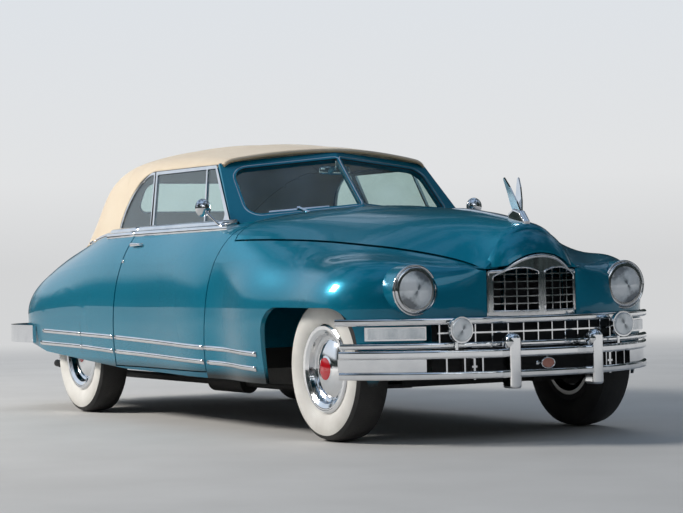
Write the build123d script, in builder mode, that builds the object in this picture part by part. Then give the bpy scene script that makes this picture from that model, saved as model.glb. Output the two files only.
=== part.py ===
from build123d import *
import os
from math import asin, cos, degrees, radians, sin, sqrt

os.makedirs("parts", exist_ok=True)

# A two-door convertible car with its fabric top raised.
# Millimetres. X points forward, Y to the car's left, Z up, and Z = 0 is the ground.
# X = 0 lies halfway between the faces of the two bumpers.

# Main dimensions
LENGTH = 5417.0
WIDTH = 1968.0
WHEELBASE = 3226.0
FRONT_OVERHANG = 900.0
FRONT_TRACK = 1521.0
REAR_TRACK = 1537.0
HALF = WIDTH / 2
FRONT_X = LENGTH / 2 - FRONT_OVERHANG
REAR_X = FRONT_X - WHEELBASE
NOSE_END = FRONT_X + 667.0

# Wheels
TYRE_RADIUS = 378.0
TYRE_WIDTH = 205.0
RIM_RADIUS = 200.0
RIM_WIDTH = 150.0
HUB_RADIUS = 60.0
DRUM_RADIUS = 150.0
KINGPIN_OFFSET = 84.5
AXLE_Z = TYRE_RADIUS

# Panels
SKIN = 28.0
DOOR_THICKNESS = 110.0
SEAM = 7.0
HOOD_SEAM = 9.0
REAR_DOOR_GAP = 13.0
SEAT_GAP = 0.3

# Door, in side view
DOOR_LOW_Z = 330.0
BELT_Z = 1132.0
DOOR_MID_Z = 760.0
DOOR_FRONT_LOW_X = FRONT_X - 1210.0
DOOR_FRONT_MID_X = FRONT_X - 1140.0
DOOR_FRONT_TOP_X = FRONT_X - 946.0
DOOR_REAR_LOW_X = FRONT_X - 2488.0
DOOR_REAR_MID_X = FRONT_X - 2413.0
DOOR_REAR_TOP_X = FRONT_X - 2303.0
DOOR_INNER_Y = 775.0
HINGE_X = FRONT_X - 1070.0
COWL_HALF_WIDTH = 733.0
COWL_REAR_X = FRONT_X - 1200.0

# Hood, cowl and fenders
HOOD_REAR_X = FRONT_X - 930.0
FIREWALL_THICKNESS = 10.0
FIREWALL_LOW_Z = 460.0
FIREWALL_HALF_WIDTH = 800.0
COWL_SEAM_Z = 1056.0
NOSE_SEAM_Z = 868.0
JAMB = 24.0
JAMB_INNER_Y = 868.0
APRON_Y = 450.0
APRON_LOW_Z = 470.0
APRON_THICKNESS = 8.0
ARM_SLOT = 125.0
ARM_SLOT_TOP_Z = 506.0

# Headlamps
LAMP_Y = 647.0
LAMP_Z = 780.0
POD_RADIUS = 127.0
POD_REAR_X = FRONT_X + 440.0
POD_FRONT_X = FRONT_X + 578.0
BEZEL_RADIUS = 118.0
LAMP_FACE_X = FRONT_X + 596.0

# Cabin and trunk
CABIN_REAR_X = REAR_X - 40.0
LEDGE_INNER_Y = 762.0
TRUNK_FRONT_X = REAR_X - 300.0
TRUNK_REAR_X = REAR_X - 1040.0
TRUNK_HALF_WIDTH = 520.0
WHEELHOUSE_RADIUS = 440.0
WHEELHOUSE_INNER_Y = 625.0
WHEELHOUSE_WALL = 12.0
AXLE_SLOT = 70.0
AXLE_SLOT_TOP_Z = 480.0
FLOOR_Z = 345.0
FLOOR_THICKNESS = 18.0
REAR_FLOOR_HALF_WIDTH = 624.0


def side_plane(x):
    """A cross plane at x whose first axis points to the car's right and second axis up."""
    return Plane(origin=(x, 0, 0), x_dir=(0, -1, 0), z_dir=(-1, 0, 0))


def mirrored(part):
    """The same piece on the car's left."""
    return part.mirror(Plane.XZ)


def finish(part, name):
    """Labels a finished piece and writes its file."""
    part.label = name
    export_step(part, f"parts/{name}.step")


# Cross-sections of the right half of the body, from tail to nose.
# Every column but the first and the heights is a distance inboard of the half width.
HULL = [
    # x, low in, wide in, wide z, crown in, crown z, seam in, seam z, shoulder in, shoulder z, top z
    (REAR_X - 1127, 500, 450, 590, 514, 690, 624, 725, 784, 740, 748),
    (REAR_X - 1032, 310, 250, 600, 364, 750, 524, 800, 684, 845, 858),
    (REAR_X - 832, 165, 100, 620, 220, 820, 384, 905, 584, 945, 965),
    (REAR_X - 482, 100, 25, 650, 120, 880, 254, 985, 464, 1040, 1068),
    (REAR_X, 84, 14, 680, 75, 925, 194, 1066, 384, 1108, 1135),
    (REAR_X + 717, 84, 13, 690, 48, 955, 126, 1124, 206, 1148, 1190),
    (FRONT_X - 1708, 84, 13, 690, 44, 950, 124, 1122, 204, 1148, 1200),
    (FRONT_X - 1190, 84, 13, 690, 44, 950, 124, 1122, 204, 1148, 1230),
    (FRONT_X - 808, 86, 14, 690, 62, 950, 144, 1085, 314, 1170, 1245),
    (FRONT_X - 408, 90, 14, 690, 120, 950, 254, 1050, 484, 1150, 1228),
    (FRONT_X, 90, 16, 690, 200, 948, 350, 1012, 580, 1118, 1200),
    (FRONT_X + 300, 115, 34, 690, 300, 945, 500, 975, 690, 1085, 1165),
    (FRONT_X + 442, 215, 134, 690, 390, 925, 590, 940, 750, 1060, 1142),
    (FRONT_X + 572, 410, 334, 690, 520, 895, 660, 902, 790, 1030, 1122),
    (NOSE_END, 703, 684, 690, 694, 850, 713, 890, 834, 1010, 1085),
]
HULL_LOW_Z = 200.0
INNER_LOW_Z = 150.0


def hull_section(row, wall):
    """One half section, moved in by a wall's thickness."""
    x, low, wide, wide_z, crown, crown_z, seam, seam_z, shoulder, shoulder_z, top_z = row
    if row is HULL[0]:
        x += wall
    if row is HULL[-1]:
        x -= wall
    low_z = INNER_LOW_Z if wall else HULL_LOW_Z
    low_point = (HALF - low - wall, low_z)
    wide_point = (HALF - wide - wall, wide_z)
    crown_point = (HALF - crown - 0.7 * wall, crown_z - 0.7 * wall)
    seam_point = (HALF - seam - 0.6 * wall, seam_z - 0.8 * wall)
    shoulder_point = (HALF - shoulder - 0.25 * wall, shoulder_z - 0.97 * wall)
    top_point = (0, top_z - wall)
    with BuildSketch(side_plane(x)) as section:
        with BuildLine():
            Line((0, low_z), low_point)
            TangentArc(wide_point, low_point, tangent=(0, -1))
            side = TangentArc(wide_point, crown_point, tangent=(0, 1))
            TangentArc(crown_point, seam_point, tangent=side % 1)
            roof = TangentArc(top_point, shoulder_point, tangent=(1, 0))
            TangentArc(shoulder_point, seam_point, tangent=roof % 1)
            Line(top_point, (0, low_z))
        make_face()
    return section.sketch


def hull(wall=0.0):
    """The right half of the body's outer form, or of the space inside a wall."""
    with BuildPart() as form:
        loft([hull_section(row, wall) for row in HULL])
    return form.part


def side_prism(outline, near=0.0, far=HALF + 100):
    """A side-view outline pushed out to the car's right, between two distances from the middle."""
    with BuildPart() as prism:
        with BuildSketch(Plane.XZ.offset(near)):
            with BuildLine():
                outline()
            make_face()
        extrude(amount=far - near)
    return prism.part


def rocker_outline():
    """What lies below the body's lower edge."""
    Polyline(
        (-LENGTH, -10),
        (LENGTH, -10),
        (LENGTH, 600),
        (NOSE_END, 560),
        (FRONT_X + 492, 430),
        (FRONT_X + 432, 300),
        (FRONT_X - 550, 285),
        (REAR_X + 900, 309),
        (REAR_X - 370, 386),
        (REAR_X - 570, 424),
        (REAR_X - 1130, 480),
        (-LENGTH, 480),
        close=True,
    )


def arch_outline():
    """The front wheel opening."""
    low_rear = (FRONT_X - 512, 100)
    top_rear = (FRONT_X - 462, 697)
    top_front = (FRONT_X + 385, 697)
    low_front = (FRONT_X + 430, 100)
    FilletPolyline(low_rear, top_rear, top_front, low_front, radius=150, close=False)
    Line(low_front, low_rear)


def seam_curve(drop=0.0, rear_x=HOOD_REAR_X):
    """The line between hood and fender in side view, from the cowl to the grille."""
    rear = (rear_x, COWL_SEAM_Z - drop)
    middle = (FRONT_X + 142, 998 - drop)
    front = (NOSE_END + 5, NOSE_SEAM_Z - drop)
    aft = ThreePointArc(rear, (FRONT_X - 358, 1042 - drop), middle)
    fore = ThreePointArc(middle, (FRONT_X + 442, 940 - drop), front)
    return aft, fore


def door_front_edge(shift=0.0, top_z=BELT_Z):
    """The door's front edge in side view, from the sill to the belt."""
    low = Line((DOOR_FRONT_LOW_X + shift, -10), (DOOR_FRONT_LOW_X + shift, DOOR_LOW_Z))
    pillar = Line(low @ 1, (DOOR_FRONT_MID_X + shift, DOOR_MID_Z))
    sweep = TangentArc(pillar @ 1, (DOOR_FRONT_TOP_X + shift, BELT_Z), tangent=pillar % 1)
    rise = Line(sweep @ 1, (DOOR_FRONT_TOP_X + shift, top_z + 1))
    return low, rise


def door_rear_edge(shift=0.0, top_z=BELT_Z):
    """The door's rear edge in side view, from the sill to the belt."""
    low = Line((DOOR_REAR_LOW_X + shift, -10), (DOOR_REAR_LOW_X + shift, DOOR_LOW_Z))
    pillar = Line(low @ 1, (DOOR_REAR_MID_X + shift, DOOR_MID_Z))
    sweep = TangentArc(pillar @ 1, (DOOR_REAR_TOP_X + shift, BELT_Z), tangent=pillar % 1)
    rise = Line(sweep @ 1, (DOOR_REAR_TOP_X + shift, top_z + 1))
    return low, rise


def ahead_of_door(shift=0.0):
    """Everything ahead of the door's front edge, in side view."""

    def outline():
        low, rise = door_front_edge(shift, top_z=2000)
        Polyline(rise @ 1, (LENGTH, 2000), (LENGTH, -10), low @ 0)

    return outline


def behind_door(shift=0.0):
    """Everything behind the door's rear edge, in side view."""

    def outline():
        low, rise = door_rear_edge(shift, top_z=2000)
        Polyline(rise @ 1, (-LENGTH, 2000), (-LENGTH, -10), low @ 0)

    return outline


def door_shape():
    """The door in side view, inside its gaps; it runs on below the sill and above the belt."""
    front_low, front_rise = door_front_edge(shift=-SEAM, top_z=BELT_Z + 60)
    rear_low, rear_rise = door_rear_edge(shift=REAR_DOOR_GAP, top_z=BELT_Z + 60)
    Line(front_low @ 0, rear_low @ 0)
    Line(front_rise @ 1, rear_rise @ 1)


def above_seam(lift=0.0):
    """Everything above the line between hood and fender, in side view."""

    def outline():
        aft, fore = seam_curve(drop=-lift)
        Polyline(
            aft @ 0,
            (-LENGTH, COWL_SEAM_Z + lift),
            (-LENGTH, 2000),
            (LENGTH, 2000),
            (LENGTH, NOSE_SEAM_Z + lift),
            fore @ 1,
        )

    return outline


def block(x0, x1, y0, y1, z0, z1):
    """A plain box between two corners."""
    with BuildPart() as solid:
        with Locations(((x0 + x1) / 2, (y0 + y1) / 2, (z0 + z1) / 2)):
            Box(abs(x1 - x0), abs(y1 - y0), abs(z1 - z0))
    return solid.part


def clipped(base, *cutters):
    """The base without each cutter."""
    with BuildPart() as rest:
        add(base)
        for cutter in cutters:
            add(cutter, mode=Mode.SUBTRACT)
    return rest.part


def common(base, *others):
    """What the base and the others share."""
    with BuildPart() as shared:
        add(base)
        for other in others:
            add(other, mode=Mode.INTERSECT)
    return shared.part


def joined(*pieces):
    """The pieces as one solid."""
    with BuildPart() as whole:
        for piece in pieces:
            add(piece)
    return whole.part


# Lid hinges: two barrels on each side of the middle, in the seam between lid and body
HINGE_RADIUS = 3.2
HINGE_LEAF = 12.0
HINGE_INNER_Y = 40.0
HINGE_SPLIT_Y = 90.0
HINGE_OUTER_Y = 140.0
HOOD_HINGE = (HOOD_REAR_X + 3.5, 1242.0)
TRUNK_HINGE = (TRUNK_FRONT_X - 3.5, 1100.0)


def hinge_half(place, leaf, y0, y1):
    """A right hinge barrel with its leaf, which points forward or back, between two sideways positions."""
    x, z = place
    with BuildPart() as hinge:
        with BuildSketch(Plane.XZ.offset(y0)):
            with Locations(place):
                Circle(HINGE_RADIUS)
            with Locations((x + leaf / 2, z - HINGE_RADIUS)):
                Rectangle(abs(leaf), 2 * HINGE_RADIUS - 1)
        extrude(amount=y1 - y0)
    return hinge.part


# Body shell
OUTER = hull()
INNER = hull(SKIN)
THICK = hull(DOOR_THICKNESS)
ROCKER = side_prism(rocker_outline)
ARCH = side_prism(arch_outline, near=560)
AHEAD = side_prism(ahead_of_door())
BEHIND = side_prism(behind_door())
SEAM_TOP = side_prism(above_seam())
SHELL = clipped(OUTER, INNER, ROCKER)
FAR = HALF + 50


def right_fender():
    """The right front fender with its apron and door jamb."""
    front = clipped(common(SHELL, AHEAD), SEAM_TOP, ARCH)
    skin = clipped(
        front,
        block(FRONT_X, LENGTH, -275, 10, 500, 2000),
        block(FRONT_X + 400, LENGTH, -600, 10, 520, 612),
    )
    jamb_band = clipped(side_prism(ahead_of_door(), near=JAMB_INNER_Y), side_prism(ahead_of_door(JAMB)))
    jamb = clipped(common(OUTER, jamb_band), SEAM_TOP, ROCKER)
    apron_band = clipped(
        block(FRONT_X - 560, NOSE_END - 60, -FAR, -APRON_Y, APRON_LOW_Z, 1100),
        side_prism(above_seam(-30)),
    )
    shelf_band = clipped(
        block(HOOD_REAR_X, NOSE_END - 60, -FAR, -APRON_Y, 700, 1100),
        side_prism(above_seam(-18)),
    )
    apron = common(apron_band, block(0, LENGTH, -APRON_Y - APRON_THICKNESS, -APRON_Y, 0, 2000), OUTER)
    apron = clipped(apron, block(FRONT_X - ARM_SLOT, FRONT_X + ARM_SLOT, -FAR, 0, 0, ARM_SLOT_TOP_Z))
    above_shelf = clipped(block(0, LENGTH, -FAR, 0, 0, 1100), side_prism(above_seam(-30)))
    shelf = clipped(common(shelf_band, OUTER), above_shelf)
    pod = clipped(lamp_barrel(POD_RADIUS, POD_REAR_X, POD_FRONT_X), INNER)
    hole = lamp_barrel(BEZEL_RADIUS + SEAT_GAP, POD_REAR_X, LENGTH)
    return clipped(joined(skin, jamb, apron, shelf, pod), hole)


def lamp_barrel(radius, rear_x, front_x):
    """A cylinder along the right headlamp's axis."""
    with BuildPart() as barrel:
        with BuildSketch(Plane.YZ.offset(rear_x)):
            with Locations((-LAMP_Y, LAMP_Z)):
                Circle(radius)
        extrude(amount=front_x - rear_x)
    return barrel.part


fender = right_fender()
finish(fender, "fender_right")
finish(mirrored(fender), "fender_left")


def right_door():
    """The right door, a hollow pressing as thick as the whole door, with its belt ledge."""
    prism = side_prism(door_shape, near=DOOR_INNER_Y)
    low = block(-LENGTH, LENGTH, -FAR, 0, 0, DOOR_LOW_Z)
    return clipped(common(OUTER, prism), THICK, low)


door = right_door()
finish(door, "door_right")
finish(mirrored(door), "door_left")


def right_rear_body():
    """Quarter, rear fender, wheelhouse, deck and tail on the right."""
    rear = common(SHELL, BEHIND)
    cabin = block(CABIN_REAR_X, LENGTH, -LEDGE_INNER_Y, 10, 900, 2000)
    trunk = trunk_prism(0.0)
    skin = clipped(rear, cabin, trunk)
    quarter_zone = clipped(
        BEHIND, side_prism(behind_door(-380)), block(-LENGTH, LENGTH, -LEDGE_INNER_Y, 10, 0, 2000)
    )
    with BuildPart() as space:
        with BuildSketch(Plane.XZ.offset(WHEELHOUSE_INNER_Y + WHEELHOUSE_WALL)):
            with Locations((REAR_X, AXLE_Z)):
                Circle(WHEELHOUSE_RADIUS - WHEELHOUSE_WALL)
        extrude(amount=FAR)
    quarter = clipped(common(OUTER, quarter_zone), THICK, ROCKER, space.part)
    jamb_zone = clipped(
        BEHIND, side_prism(behind_door(-JAMB)), block(-LENGTH, LENGTH, -JAMB_INNER_Y, 10, 0, 2000)
    )
    jamb = clipped(common(OUTER, jamb_zone), ROCKER)
    with BuildPart() as house:
        with BuildSketch(Plane.XZ.offset(WHEELHOUSE_INNER_Y)):
            with Locations((REAR_X, AXLE_Z)):
                Circle(WHEELHOUSE_RADIUS)
        extrude(amount=FAR - WHEELHOUSE_INNER_Y)
    axle_slot = block(REAR_X - AXLE_SLOT, REAR_X + AXLE_SLOT, -FAR, 0, 0, AXLE_SLOT_TOP_Z)
    wheelhouse = clipped(common(clipped(house.part, space.part), OUTER), ROCKER, axle_slot)
    hinge = hinge_half(TRUNK_HINGE, HINGE_LEAF, HINGE_SPLIT_Y + SEAT_GAP, HINGE_OUTER_Y)
    return joined(skin, quarter, jamb, wheelhouse, hinge)


def trunk_prism(gap):
    """The trunk lid's outline from above, made smaller by a gap and taken through the deck."""
    with BuildPart() as prism:
        with BuildSketch(Plane.XY.offset(600)):
            x0, x1 = TRUNK_REAR_X + gap, TRUNK_FRONT_X - gap
            with Locations(((x0 + x1) / 2, 0)):
                RectangleRounded(x1 - x0, 2 * (TRUNK_HALF_WIDTH - gap), 70)
        extrude(amount=900)
        split(bisect_by=Plane.XZ, keep=Keep.TOP)
    return prism.part


rear_half = right_rear_body()
finish(joined(rear_half, mirrored(rear_half)), "rear_body")
lid_hinge = hinge_half(TRUNK_HINGE, -HINGE_LEAF, HINGE_INNER_Y, HINGE_SPLIT_Y)
lid_half = joined(clipped(common(OUTER, trunk_prism(SEAM)), INNER), lid_hinge)
finish(joined(lid_half, mirrored(lid_half)), "trunk_lid")


def right_hood():
    """The right half of the hood and its prow above the grille."""
    zone = clipped(side_prism(above_seam(HOOD_SEAM)), block(-LENGTH, HOOD_REAR_X + SEAM, -FAR, 10, 0, 2100))
    hinge = hinge_half(HOOD_HINGE, HINGE_LEAF, HINGE_INNER_Y, HINGE_SPLIT_Y)
    return joined(clipped(common(OUTER, zone), INNER), hinge)


def prow():
    """The hood's nose, which stands proud above the grille."""
    with BuildPart() as nose:
        for x, half, low_z, top_z in PROW:
            with BuildSketch(side_plane(x)):
                with BuildLine():
                    ThreePointArc((-half, low_z), (0, top_z), (half, low_z))
                    Line((half, low_z), (-half, low_z))
                make_face()
        loft()
    return nose.part


# x, half width, low z, top z
PROW = [
    (NOSE_END - 20, 262.0, 885.0, 1088.0),
    (NOSE_END + 45, 215.0, 890.0, 1040.0),
    (NOSE_END + 88, 130.0, 905.0, 968.0),
]
GRILLE_HALF = 272.0
GRILLE_LOW_Z = 640.0
GRILLE_SHOULDER_Z = 862.0
GRILLE_TOP_Z = 950.0
GRILLE_FRONT_X = NOSE_END + 93.0
GRILLE_SIDE_X = NOSE_END - 3.0
GRILLE_DEPTH = 62.0
GRILLE_RIM = 24.0
GRILLE_ARCH_HALF = 203.0
GRILLE_CENTRE_BAR = 36.0
GRILLE_STEP = 6.0
GRILLE_SLAT = 6.0
GRILLE_LEVEL_STEP = 37.0
LOBE_NEAR_Z = 862.0
LOBE_CREST_Y = 90.0
LOBE_CREST_Z = 881.0
LOBE_FAR_Y = 248.0
LOBE_FAR_Z = 836.0


def grille_front(depth=GRILLE_DEPTH):
    """The grille's outline, pushed through its bowed band."""
    with BuildPart() as form:
        with BuildSketch(Plane.XY.offset(GRILLE_LOW_Z - 50)):
            with BuildLine():
                bow = ThreePointArc(
                    (GRILLE_SIDE_X, -GRILLE_HALF), (GRILLE_FRONT_X, 0), (GRILLE_SIDE_X, GRILLE_HALF)
                )
                back = ThreePointArc(
                    (GRILLE_SIDE_X - depth, -GRILLE_HALF),
                    (GRILLE_FRONT_X - depth, 0),
                    (GRILLE_SIDE_X - depth, GRILLE_HALF),
                )
                Line(bow @ 0, back @ 0)
                Line(bow @ 1, back @ 1)
            make_face()
        extrude(amount=450)
        with BuildSketch(Plane.YZ.offset(NOSE_END - 300)):
            with BuildLine():
                stepped_arch(GRILLE_LOW_Z)
            make_face()
        extrude(amount=600, mode=Mode.INTERSECT)
    return form.part


def stepped_arch(low_z, gap=0.0):
    """The grille's outline from the front, an arch that rises from level shoulders."""
    half, foot, shoulder_z = GRILLE_HALF + gap, GRILLE_ARCH_HALF + gap, GRILLE_SHOULDER_Z + gap
    arch = ThreePointArc(
        (-foot, shoulder_z + GRILLE_STEP), (0, GRILLE_TOP_Z + gap), (foot, shoulder_z + GRILLE_STEP)
    )
    Polyline(arch @ 0, (-half, shoulder_z), (-half, low_z), (half, low_z), (half, shoulder_z), arch @ 1)


def grille_clearance(gap):
    """The space that the hood leaves over the grille."""
    with BuildPart() as form:
        with BuildSketch(Plane.YZ.offset(NOSE_END - 70)):
            with BuildLine():
                stepped_arch(400, gap)
            make_face()
        extrude(amount=400)
    return form.part


hood_half = right_hood()
hood = clipped(joined(hood_half, mirrored(hood_half), prow()), grille_clearance(SEAM))
finish(hood, "hood")


def grille_lobes(grow=0.0):
    """The two arch-topped openings, pushed through the grille."""
    with BuildPart() as lobes:
        with BuildSketch(Plane.YZ.offset(NOSE_END - 300)):
            for side in (-1, 1):
                with BuildLine():
                    near, far = side * (GRILLE_CENTRE_BAR / 2 - grow), side * (LOBE_FAR_Y + grow)
                    top = (side * LOBE_CREST_Y, LOBE_CREST_Z + grow)
                    crest = ThreePointArc((near, LOBE_NEAR_Z + grow), top, (far, LOBE_FAR_Z + grow))
                    low_z = GRILLE_LOW_Z + GRILLE_RIM - grow
                    Polyline(crest @ 1, (far, low_z), (near, low_z), crest @ 0)
                make_face()
        extrude(amount=600)
    return lobes.part


def grille():
    """The chrome shell with its thick arch, centre bar and egg-crate bars."""
    shell = clipped(grille_front(), grille_lobes())
    field = common(clipped(grille_front(depth=40), grille_front(depth=10)), grille_lobes(grow=3))
    with BuildPart() as slats:
        x = (GRILLE_FRONT_X + GRILLE_SIDE_X) / 2
        near, step = GRILLE_CENTRE_BAR / 2, (LOBE_FAR_Y - GRILLE_CENTRE_BAR / 2) / 4
        for side in (-1, 1):
            with Locations(*[(x, side * (near + step * i), 780) for i in (1, 2, 3)]):
                Box(400, GRILLE_SLAT, 400)
        with Locations(*[(x, 0, GRILLE_LOW_Z + GRILLE_RIM + GRILLE_LEVEL_STEP * i) for i in (1, 2, 3, 4, 5)]):
            Box(400, 560, GRILLE_SLAT)
    return joined(shell, common(slats.part, field))


finish(grille(), "grille")

# Door windows, on a plane that leans in with the glass
FRAME_LOW_Z = 1146.0
FRAME_Y = 785.0
FRAME_LEAN = 14.6
FRAME_BAR = 20.0
FRAME_THICK = 16.0
DOOR_GLASS = 5.0


def frame_plane():
    """The right door glass's plane: first axis forward, second axis up."""
    lean = radians(FRAME_LEAN)
    return Plane(origin=(0, -FRAME_Y, FRAME_LOW_Z), x_dir=(1, 0, 0), z_dir=(0, -cos(lean), sin(lean)))


# Windshield, two flat panes that meet in a V
SHIELD_FOOT_X = FRONT_X - 1028.0
SHIELD_FOOT_Z = 1266.0
SHIELD_RAKE = 44.7
SHIELD_SWEEP = 12.0
SHIELD_FRAME = 40.0
GLASS = 6.0
DIVIDER_HALF = 14.0
PANE_CORNER = 85.0
PILLAR_GAP = 6.0
PILLAR_FOOT_Y = 738.0
PILLAR_FOOT_Z = 1172.0


def shield_plane():
    """The right pane's plane: first axis outboard, second axis up the divider, pointing inwards."""
    rake, sweep = radians(SHIELD_RAKE), radians(SHIELD_SWEEP)
    up = Vector(-sin(rake), 0, cos(rake))
    normal = Vector(cos(rake) * cos(sweep), -sin(sweep), sin(rake) * cos(sweep))
    across = normal.cross(up)
    return Plane(origin=(SHIELD_FOOT_X, 0, SHIELD_FOOT_Z), x_dir=across, z_dir=-normal)


def shield_pane(inset):
    """The right pane's opening, with rounded outer corners."""
    corners = [
        (DIVIDER_HALF + inset, 4 + inset),
        (682 - inset, 60 + inset),
        (648 - inset, 437 - inset),
        (DIVIDER_HALF + inset, 392 - inset),
    ]
    with BuildSketch(mode=Mode.PRIVATE) as pane:
        with BuildLine():
            Polyline(*corners, close=True)
        make_face()
        outer_corners = pane.vertices().sort_by(Axis.X)[2:]
        fillet(outer_corners, radius=PANE_CORNER - inset)
    return pane.sketch


def windshield_frame():
    """Header, pillars and divider around the two panes, on the cowl."""
    with BuildPart() as frame:
        with BuildSketch(shield_plane()):
            with BuildLine():
                Polyline((-60, -110), (850, -110), (790, 505), (-60, 440), close=True)
            make_face()
            add(shield_pane(0), mode=Mode.SUBTRACT)
        extrude(amount=SHIELD_FRAME)
        with BuildSketch(frame_plane().offset(FRAME_THICK / 4)):
            Rectangle(4000, 2000)
        extrude(amount=300, mode=Mode.SUBTRACT)
        with BuildSketch(frame_plane().offset(-FRAME_THICK / 2 - PILLAR_GAP)):
            with BuildLine():
                Polyline((-600, -200), (670, -200), (645, 20), (306, 380), (-600, 380), close=True)
            make_face()
        extrude(amount=300, mode=Mode.SUBTRACT)
    past_middle = block(-LENGTH, LENGTH, 0, FAR, 0, 2000)
    over_door = block(-LENGTH, LENGTH, -FAR, -PILLAR_FOOT_Y, 0, PILLAR_FOOT_Z)
    return clipped(frame.part, OUTER, past_middle, over_door)


def windshield_glass():
    """The right pane."""
    with BuildPart() as pane:
        with BuildSketch(shield_plane().offset(SHIELD_FRAME / 2 - GLASS / 2)):
            add(shield_pane(SEAT_GAP))
        extrude(amount=GLASS)
    return pane.part


def right_cowl():
    """The fixed panel behind the hood, with the firewall below it."""
    zone = common(SEAM_TOP, AHEAD, block(0, HOOD_REAR_X, -FAR, 10, COWL_SEAM_Z, 2000))
    side = common(SHELL, zone)
    shelf = common(SHELL, block(COWL_REAR_X, HOOD_REAR_X, -COWL_HALF_WIDTH, 10, 1100, 2000))
    wall_x = HOOD_REAR_X - FIREWALL_THICKNESS
    wall = common(OUTER, block(wall_x, HOOD_REAR_X, -FIREWALL_HALF_WIDTH, 10, FIREWALL_LOW_Z, 1300))
    hinge = hinge_half(HOOD_HINGE, -HINGE_LEAF, HINGE_SPLIT_Y + SEAT_GAP, HINGE_OUTER_Y)
    return joined(side, shelf, wall, hinge)


cowl_half = joined(right_cowl(), windshield_frame())
finish(joined(cowl_half, mirrored(cowl_half)), "cowl")
panes = windshield_glass()
finish(Compound([panes, mirrored(panes)]), "windshield_glass")

# Raised top, from its front edge to the deck
# x, base half width, corner half width, corner z, top z, corner radius
TOP = [
    (FRONT_X - 1288, 783, 690, 1528, 1592, 100),
    (FRONT_X - 1508, 800, 692, 1538, 1620, 110),
    (FRONT_X - 1748, 813, 692, 1546, 1643, 120),
    (FRONT_X - 1988, 818, 692, 1552, 1660, 130),
    (FRONT_X - 2228, 820, 692, 1556, 1670, 130),
    (FRONT_X - 2468, 820, 690, 1555, 1674, 140),
    (REAR_X + 517, 820, 686, 1545, 1668, 140),
    (REAR_X + 307, 818, 676, 1520, 1645, 140),
    (REAR_X + 127, 812, 656, 1475, 1597, 140),
    (REAR_X - 13, 800, 630, 1400, 1515, 130),
    (REAR_X - 113, 783, 605, 1310, 1410, 110),
    (REAR_X - 183, 763, 585, 1225, 1305, 70),
    (REAR_X - 243, 743, 570, 1150, 1205, 30),
    (REAR_X - 283, 728, 560, 1105, 1132, 10),
]
TOP_BASE_Z = 990.0
WINDOW_TOP_Z = 1512.0
TOP_WALL = 20.0
REAR_WINDOW_Z = 1385.0
REAR_WINDOW_WIDTH = 700.0
REAR_WINDOW_HEIGHT = 190.0


def top_form(wall=0.0):
    """The right half of the raised top's outer form, or of the space inside its fabric."""
    with BuildPart() as form:
        for row in TOP:
            x, base, corner, corner_z, top_z, radius = row
            x += wall if row is TOP[-1] else 0
            x -= wall if row is TOP[0] else 0
            low_z = TOP_BASE_Z - wall
            edge = (corner - wall, corner_z - wall)
            with BuildSketch(side_plane(x)) as section:
                with BuildLine():
                    Polyline((0, top_z - wall), (0, low_z), (base - wall, low_z), edge)
                    TangentArc((0, top_z - wall), edge, tangent=(1, 0))
                make_face()
                bends = section.vertices().sort_by_distance((edge[0], edge[1], 0))
                fillet(bends[0], radius=radius - 0.7 * wall if wall < radius else 5)
        loft()
    return form.part


def window_cut(grow=0.0):
    """The side window opening in the top, in side view."""

    def outline():
        top_z = WINDOW_TOP_Z + grow
        low = Polyline((-940 - grow, 1000), (800, 1000), (800, 1120), (415 + grow, top_z))
        head = Line(low @ 1, (-570, top_z))
        bend = ThreePointArc(head @ 1, (-800 - grow, 1400 + grow * 0.7), (-925 - grow, 1195))
        Line(bend @ 1, low @ 0)

    return side_prism(outline, near=560)


def rear_window(inset=0.0):
    """The rear window's opening, pushed along the car."""
    with BuildPart() as prism:
        with BuildSketch(Plane.YZ.offset(REAR_X - 240)):
            with Locations((0, REAR_WINDOW_Z)):
                RectangleRounded(REAR_WINDOW_WIDTH - 2 * inset, REAR_WINDOW_HEIGHT - 2 * inset, 60 - inset)
        extrude(amount=300)
        split(bisect_by=Plane.XZ, keep=Keep.TOP)
    return prism.part


def top_front_cut():
    """What lies ahead of the top's front edge, seen from above."""
    with BuildPart() as ahead:
        with BuildSketch(Plane.XY.offset(1000)):
            with BuildLine():
                Polyline((482, 50), (474, 0), (354, -700), (354, -900), (900, -900), (900, 50), close=True)
            make_face()
        extrude(amount=800)
    return ahead.part


shield_half = windshield_frame()
roof = top_form()
canopy = clipped(roof, top_form(TOP_WALL), window_cut(), rear_window(), top_front_cut(), OUTER, shield_half)
finish(joined(canopy, mirrored(canopy)), "soft_top")
back_pane = clipped(common(top_form(8.0), rear_window(SEAT_GAP)), top_form(13.0))
finish(joined(back_pane, mirrored(back_pane)), "rear_glass")

# Door trim
def vent_opening(inset):
    """The vent window, in the frame's plane."""
    with BuildSketch(mode=Mode.PRIVATE) as vent:
        with BuildLine():
            Polyline((312, 18), (594, 18), (294, 352), (192, 352), close=True)
        make_face()
        offset(amount=-inset)
        fillet(vent.vertices().sort_by(Axis.X)[-1], radius=40)
    return vent.sketch


def door_opening(inset):
    """The door window, in the frame's plane."""
    with BuildSketch(mode=Mode.PRIVATE) as window:
        with BuildLine():
            Polyline((296, 18), (176, 352), (-506, 352), (-398, 18), close=True)
        make_face()
        offset(amount=-inset)
    return window.sketch


def door_window_frame():
    """The chrome frame around the door and vent windows."""
    with BuildPart() as frame:
        with BuildSketch(frame_plane().offset(-FRAME_THICK / 2)):
            with BuildLine():
                Polyline((650, -6), (636, 18), (300, 372), (-535, 372), (-412, -6), close=True)
            make_face()
            add(vent_opening(0), mode=Mode.SUBTRACT)
            add(door_opening(0), mode=Mode.SUBTRACT)
        extrude(amount=FRAME_THICK)
    return frame.part


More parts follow.
